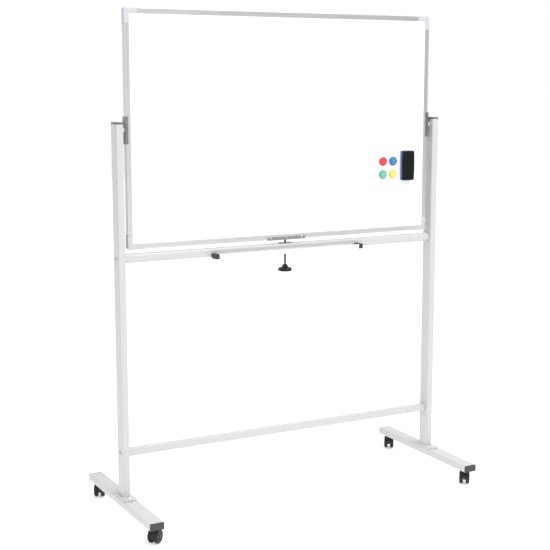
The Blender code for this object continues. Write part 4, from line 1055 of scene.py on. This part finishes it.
low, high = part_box("eraser_body")
turned = frameAlong((0, -1, 0), ((low.x + high.x) / 2, high.y, (low.z + high.z) / 2), (1, 0, 0))
shell = shellMesh(eraserSpec, high.x - low.x, high.z - low.z, high.y - low.y)
shell.transform(turned)
piece("eraser_grip", evened(shell), "eraser", shellFinish(low.y, high.y), "black_plastic", "eraser_body")
feltLow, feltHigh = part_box("eraser_felt")
pitch = (feltHigh.y - feltLow.y) / eraserSpec["layers"]
margin = eraserSpec["feltMargin"]
pad = ring(feltHigh.x - feltLow.x - 2 * margin, feltHigh.z - feltLow.z - 2 * margin, eraserSpec["corner"], 6)
bm = bmesh.new()
soft = pitch * eraserSpec["feltSoft"]
skin(bm, [[(x, y, height) for x, y in inset(pad, inward)] for height, inward in
          ((0, soft), (soft * 0.4, soft * 0.3), (soft, 0), (pitch - soft, 0), (pitch - soft * 0.4, soft * 0.3),
           (pitch, soft))])
feltSizes = {"Layers": eraserSpec["layers"], "Layer Pitch": pitch, "Shift": margin, "Seed": eraserSpec["feltSeed"],
             "Finish": knobPlastic}
felt = layers.grow("felt", toMesh("layer", bm), feltSizes)
felt.transform(frameAlong((0, -1, 0), ((feltLow.x + feltHigh.x) / 2, feltHigh.y, (feltLow.z + feltHigh.z) / 2),
                          (1, 0, 0)))
feltPaint = feltFinish(feltLow.y, feltHigh.y)
piece("eraser_felt_pad", smoothed(felt, 60), "eraser", feltPaint, "blue_felt", "eraser_felt")
print("magnets and eraser ready")


# Casters

casterSpec = {"wheelRadius": 0.025, "wheelWidth": 0.0145, "tyreRadius": 0.0192, "bore": 0.0038,
              "boreDepth": 0.0113, "web": 0.009, "webInset": 0.003, "webFloor": 0.020, "lugRadius": 0.012,
              "trail": 0.012, "play": 0.0006, "hoodWall": 0.002, "hoodWidth": 0.022, "hoodArc": (20, 140),
              "spineArc": (24, 136), "spine": 0.005, "bossRadius": 0.011, "bossHeight": 0.0035,
              "axleRadius": 0.0035, "pinLength": 0.018, "pinRadius": 0.0025, "threadRadius": 0.004,
              "threadDepth": 0.0005, "threadPitch": 0.00125, "flangeRadius": 0.009, "flange": 0.0027,
              "ribs": 6, "ribFrom": 0.0058, "ribTo": 0.0170, "ribWidth": 0.0013, "ribHeight": 0.0020,
              "ribSunk": 0.0015}


def tyreMesh(spec):  # rounded tread with two shallow grooves, about the wheel's axis
    r, wide, inner = spec["wheelRadius"], spec["wheelWidth"], spec["tyreRadius"]
    outline = [(inner, 0.0006), (r - 0.0034, 0.0004), (r - 0.0016, 0.0014), (r - 0.0005, 0.0026), (r, 0.0040)]
    for middle in (0.36 * wide, 0.52 * wide):
        outline += [(r, middle - 0.0006), (r - 0.0004, middle - 0.0003), (r - 0.0004, middle + 0.0003),
                    (r, middle + 0.0006)]
    outline += [(r, wide - 0.0058), (r - 0.0008, wide - 0.0043), (r - 0.0020, wide - 0.0027),
                (r - 0.0036, wide - 0.0016), (inner, wide - 0.0012)]
    return toMesh("tyre", lathe(outline, 64), angle=45)


def hubMesh(spec):  # disc with a raised rim, a dished face and a centre cap
    rim, wide = spec["tyreRadius"] - 0.0001, spec["wheelWidth"]
    outline = [(0, spec["boreDepth"]), (spec["bore"], spec["boreDepth"]), (spec["bore"], 0.0), (0.0075, 0.0),
               (0.0078, 0.0035), (rim - 0.0016, 0.0045), (rim - 0.0012, 0.0004), (rim, 0.0004),
               (rim, wide - 0.0013), (rim - 0.0009, wide - 0.0008), (rim - 0.0020, wide - 0.0006),
               (rim - 0.0028, wide - 0.0021), (0.0066, wide - 0.0023), (0.0060, wide - 0.0004),
               (0.0050, wide), (0, wide)]
    return toMesh("hub", lathe(outline, 56), angle=35)


def arcBand(centre, inner, outer, arc, width, edge, steps=36):  # rounded band over the tops of the wheels
    section = ring(outer - inner, width, edge, 4)
    loops = []
    for step in range(steps + 1):
        angle = math.radians(arc[0] + (arc[1] - arc[0]) * step / steps)
        out = Vector((math.cos(angle), 0, math.sin(angle)))
        near = min(step, steps - step)
        shrink = (0.72, 0.93, 1.0)[min(near, 2)]
        middle = centre + out * (inner + outer) / 2
        loops.append([middle + out * x * shrink + Vector((0, y * (0.5 + shrink / 2), 0)) for x, y in section])
    return toMesh("band", skin(bmesh.new(), loops), angle=45)


def roundBar(radius, low, high, edge, steps, place):  # turned bar with eased ends
    outline = eased([(0, low), (radius, low), (radius, high), (0, high)], [0, edge, edge, 0], 4)
    return toMesh("bar", lathe(outline, steps), place)


def hoodMesh(spec):  # caster body about its swivel axis at floor level, trailing to +X
    centre = Vector((spec["trail"], 0, spec["wheelRadius"]))
    alongAxle = frameAlong((0, 1, 0), centre)
    inner = spec["wheelRadius"] + spec["play"]
    outer = inner + spec["hoodWall"]
    web = spec["web"] / 2
    bossLow = 2 * spec["wheelRadius"] + gap
    halfAxle = web + spec["play"] + spec["boreDepth"] - 2 * gap
    post = web - 2 * gap
    disc = roundBar(spec["wheelRadius"] - spec["webInset"], -web, web, 0.0008, 56, alongAxle)
    far = 0.1  # well beyond the caster
    disc = cut(disc, block((-far, -far, -far), (far, far, spec["webFloor"])))
    solids = [arcBand(centre, inner, outer, spec["hoodArc"], spec["hoodWidth"], 0.0009), disc,
              roundBar(spec["lugRadius"], gap - web, web - gap, 0.0012, 48, alongAxle),
              arcBand(centre, inner - spec["spine"], outer - 0.0008, spec["spineArc"], 2 * web - 0.0008, 0.0004),
              roundBar(spec["bossRadius"], bossLow, bossLow + spec["bossHeight"], 0.0006, 48, None),
              block((-post, -post, spec["wheelRadius"]), (post, post, bossLow + spec["bossHeight"] / 2)),
              roundBar(spec["axleRadius"], -halfAxle, halfAxle, 0.0004, 32, alongAxle)]
    body = united(solids)
    top = bossLow + spec["bossHeight"]
    socket = roundBar(spec["pinRadius"] + gap, top - spec["pinLength"] - gap, top + 0.01, 0, 32, None)
    return cut(body, socket)


def stemMesh(spec, low, high, flangeLow):  # swivel pin, hexagonal collar and the threaded end's core
    pin, collar = spec["pinRadius"], spec["flangeRadius"]
    core = spec["threadRadius"] - spec["threadDepth"]
    flangeHigh = flangeLow + spec["flange"]

    def collared(reach, angle):
        if reach < collar * 0.9:
            return reach
        local = (angle % (math.pi / 3)) - math.pi / 6
        return min(reach, collar * 0.93 / math.cos(local))

    outline = [(0, low), (pin - 0.0004, low), (pin, low + 0.0004), (pin, flangeLow), (collar * 0.88, flangeLow),
               (collar, flangeLow + 0.0006), (collar, flangeHigh - 0.0006), (collar * 0.88, flangeHigh),
               (core, flangeHigh), (core, high - 0.0006), (core - 0.0006, high), (0, high)]
    return toMesh("stem", lathe(outline, 60, collared), Matrix.Translation((0, 0, -flangeHigh)), angle=25)


hood, tyre, hub = hoodMesh(casterSpec), tyreMesh(casterSpec), hubMesh(casterSpec)
ribSizes = {"Count": casterSpec["ribs"], "Inner Radius": casterSpec["ribFrom"],
            "Outer Radius": casterSpec["ribTo"], "Rib Width": casterSpec["ribWidth"],
            "Rib Height": casterSpec["ribHeight"], "Level": casterSpec["wheelWidth"] - casterSpec["ribSunk"],
            "Finish": hubPlastic}
hub = smoothed(ribs.grow("hub", hub, ribSizes))
stemLow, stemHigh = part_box("caster_stem_front_left")
flangeLow = 2 * casterSpec["wheelRadius"] + gap + casterSpec["bossHeight"] + gap
flangeHigh = flangeLow + casterSpec["flange"]
stem = stemMesh(casterSpec, stemLow.z, stemHigh.z, flangeLow)
threadSizes = {"Radius": casterSpec["threadRadius"], "Depth": casterSpec["threadDepth"],
               "Pitch": casterSpec["threadPitch"], "Length": stemHigh.z - flangeHigh - 0.0008, "Finish": plated}
stem = threads.grow("stem", stem, threadSizes, Matrix.Translation((0, 0, flangeHigh)))
for word in casterNames:
    x, y, top = joints[f"swivel_turn_{word}"]["pos_m"]
    axle = Vector(joints[f"wheel_a_spin_{word}"]["axis"])
    facing = math.atan2(-axle.x, axle.y)
    place = Matrix.Translation((x, y, 0)) @ Matrix.Rotation(facing, 4, "Z")
    body = hood.copy()
    body.transform(place)
    piece(f"caster_body_{word}", body, f"swivel_{word}", hoodPlastic, "caster_plastic", f"caster_hood_{word}")
    shaft = stem.copy()
    shaft.transform(Matrix.Translation((x, y, 0)))
    piece(f"caster_pin_{word}", smoothed(shaft, 40), "root", plated, "zinc", f"caster_stem_{word}")
    for letter, across in (("a", -1), ("b", 1)):
        offset = across * (casterSpec["web"] / 2 + casterSpec["play"])
        outward = place @ Matrix.Translation((casterSpec["trail"], offset, casterSpec["wheelRadius"]))
        outward = outward @ Matrix.Rotation(-across * math.pi / 2, 4, "X")
        wheel = f"wheel_{letter}_{word}"
        rubber, disc = tyre.copy(), hub.copy()
        rubber.transform(outward)
        disc.transform(outward)
        piece(f"{wheel}_tread", rubber, wheel, tread, "caster_rubber", wheel)
        piece(f"{wheel}_hub", disc, wheel, hubPlastic, "caster_plastic")
print("casters ready")


# Floor, light and camera

stageSpec = {"floorHalf": 14.0, "floorGlow": 0.40, "worldStrength": 1.0, "keyPower": 175.0,
             "keyPlace": (0.7, -2.0, 5.2), "keyAim": (0, 0, 0.9), "keySize": 3.2,
             "flags": (((2.2, -6.4, 0.0), (8.5, -5.2, 4.5)), ((-3.6, 4.0, 0.0), (-3.6, -2.5, 1.6)))}


def floorFinish():
    finish = Finish("paleFloor")
    cloud = finish.noise(0.8, 2.0)
    return finish.set(Base_Color=finish.blend(cloud, (0.80, 0.80, 0.80), (0.82, 0.82, 0.82)), Roughness=0.9,
                      Emission_Color=(1.0, 1.0, 1.0), Emission_Strength=stageSpec["floorGlow"])


def flagFinish():  # grey cloth on frames, which dims the left and the front right of the studio
    finish = Finish("studioFlag")
    weave = finish.noise(30.0, 3.0)
    return finish.set(Base_Color=finish.blend(weave, (0.50, 0.50, 0.50), (0.54, 0.54, 0.54)), Roughness=1.0)


def panel(name, corners, finish):  # a flat sheet that belongs to the studio
    mesh = bpy.data.meshes.new(name)
    mesh.from_pydata(corners, [], [(0, 1, 2, 3)])
    mesh.materials.append(finish)
    sheet = placed(name, mesh)
    return sheet


half = stageSpec["floorHalf"]
panel("floor", [(-half, -half, 0), (half, -half, 0), (half, half, 0), (-half, half, 0)], floorFinish())
flagCloth = flagFinish()
for count, ((nearX, nearY, low), (farX, farY, high)) in enumerate(stageSpec["flags"]):
    corners = [(nearX, nearY, low), (farX, farY, low), (farX, farY, high), (nearX, nearY, high)]
    panel(f"flag_{count}", corners, flagCloth).visible_camera = False

world = bpy.data.worlds.new("studio")
world.use_nodes = True
world.node_tree.nodes["Background"].inputs["Color"].default_value = (1.0, 1.0, 1.0, 1.0)
world.node_tree.nodes["Background"].inputs["Strength"].default_value = stageSpec["worldStrength"]
bpy.context.scene.world = world


def softBox(name, place, target, size, power):
    light = bpy.data.lights.new(name, "AREA")
    light.shape = "SQUARE"
    light.size = size
    light.energy = power
    lamp = placed(name, light)
    lamp.location = place
    lamp.rotation_euler = (Vector(target) - Vector(place)).to_track_quat("-Z", "Y").to_euler()


softBox("keyLight", stageSpec["keyPlace"], stageSpec["keyAim"], stageSpec["keySize"], stageSpec["keyPower"])

cameraSpec = {"place": (-2.0439, -3.7351, 1.4882), "pitch": -9.127, "yaw": -28.205, "lens": 78.85, "sensor": 36.0}
lens = bpy.data.cameras.new("camera")
lens.lens = cameraSpec["lens"]
lens.sensor_width = cameraSpec["sensor"]
lens.sensor_fit = "HORIZONTAL"
camera = placed("camera", lens)
camera.location = cameraSpec["place"]
camera.rotation_euler = (math.radians(90 + cameraSpec["pitch"]), 0, math.radians(cameraSpec["yaw"]))
bpy.context.scene.camera = camera
bpy.context.scene.view_settings.view_transform = "Standard"

bpy.context.view_layer.update()
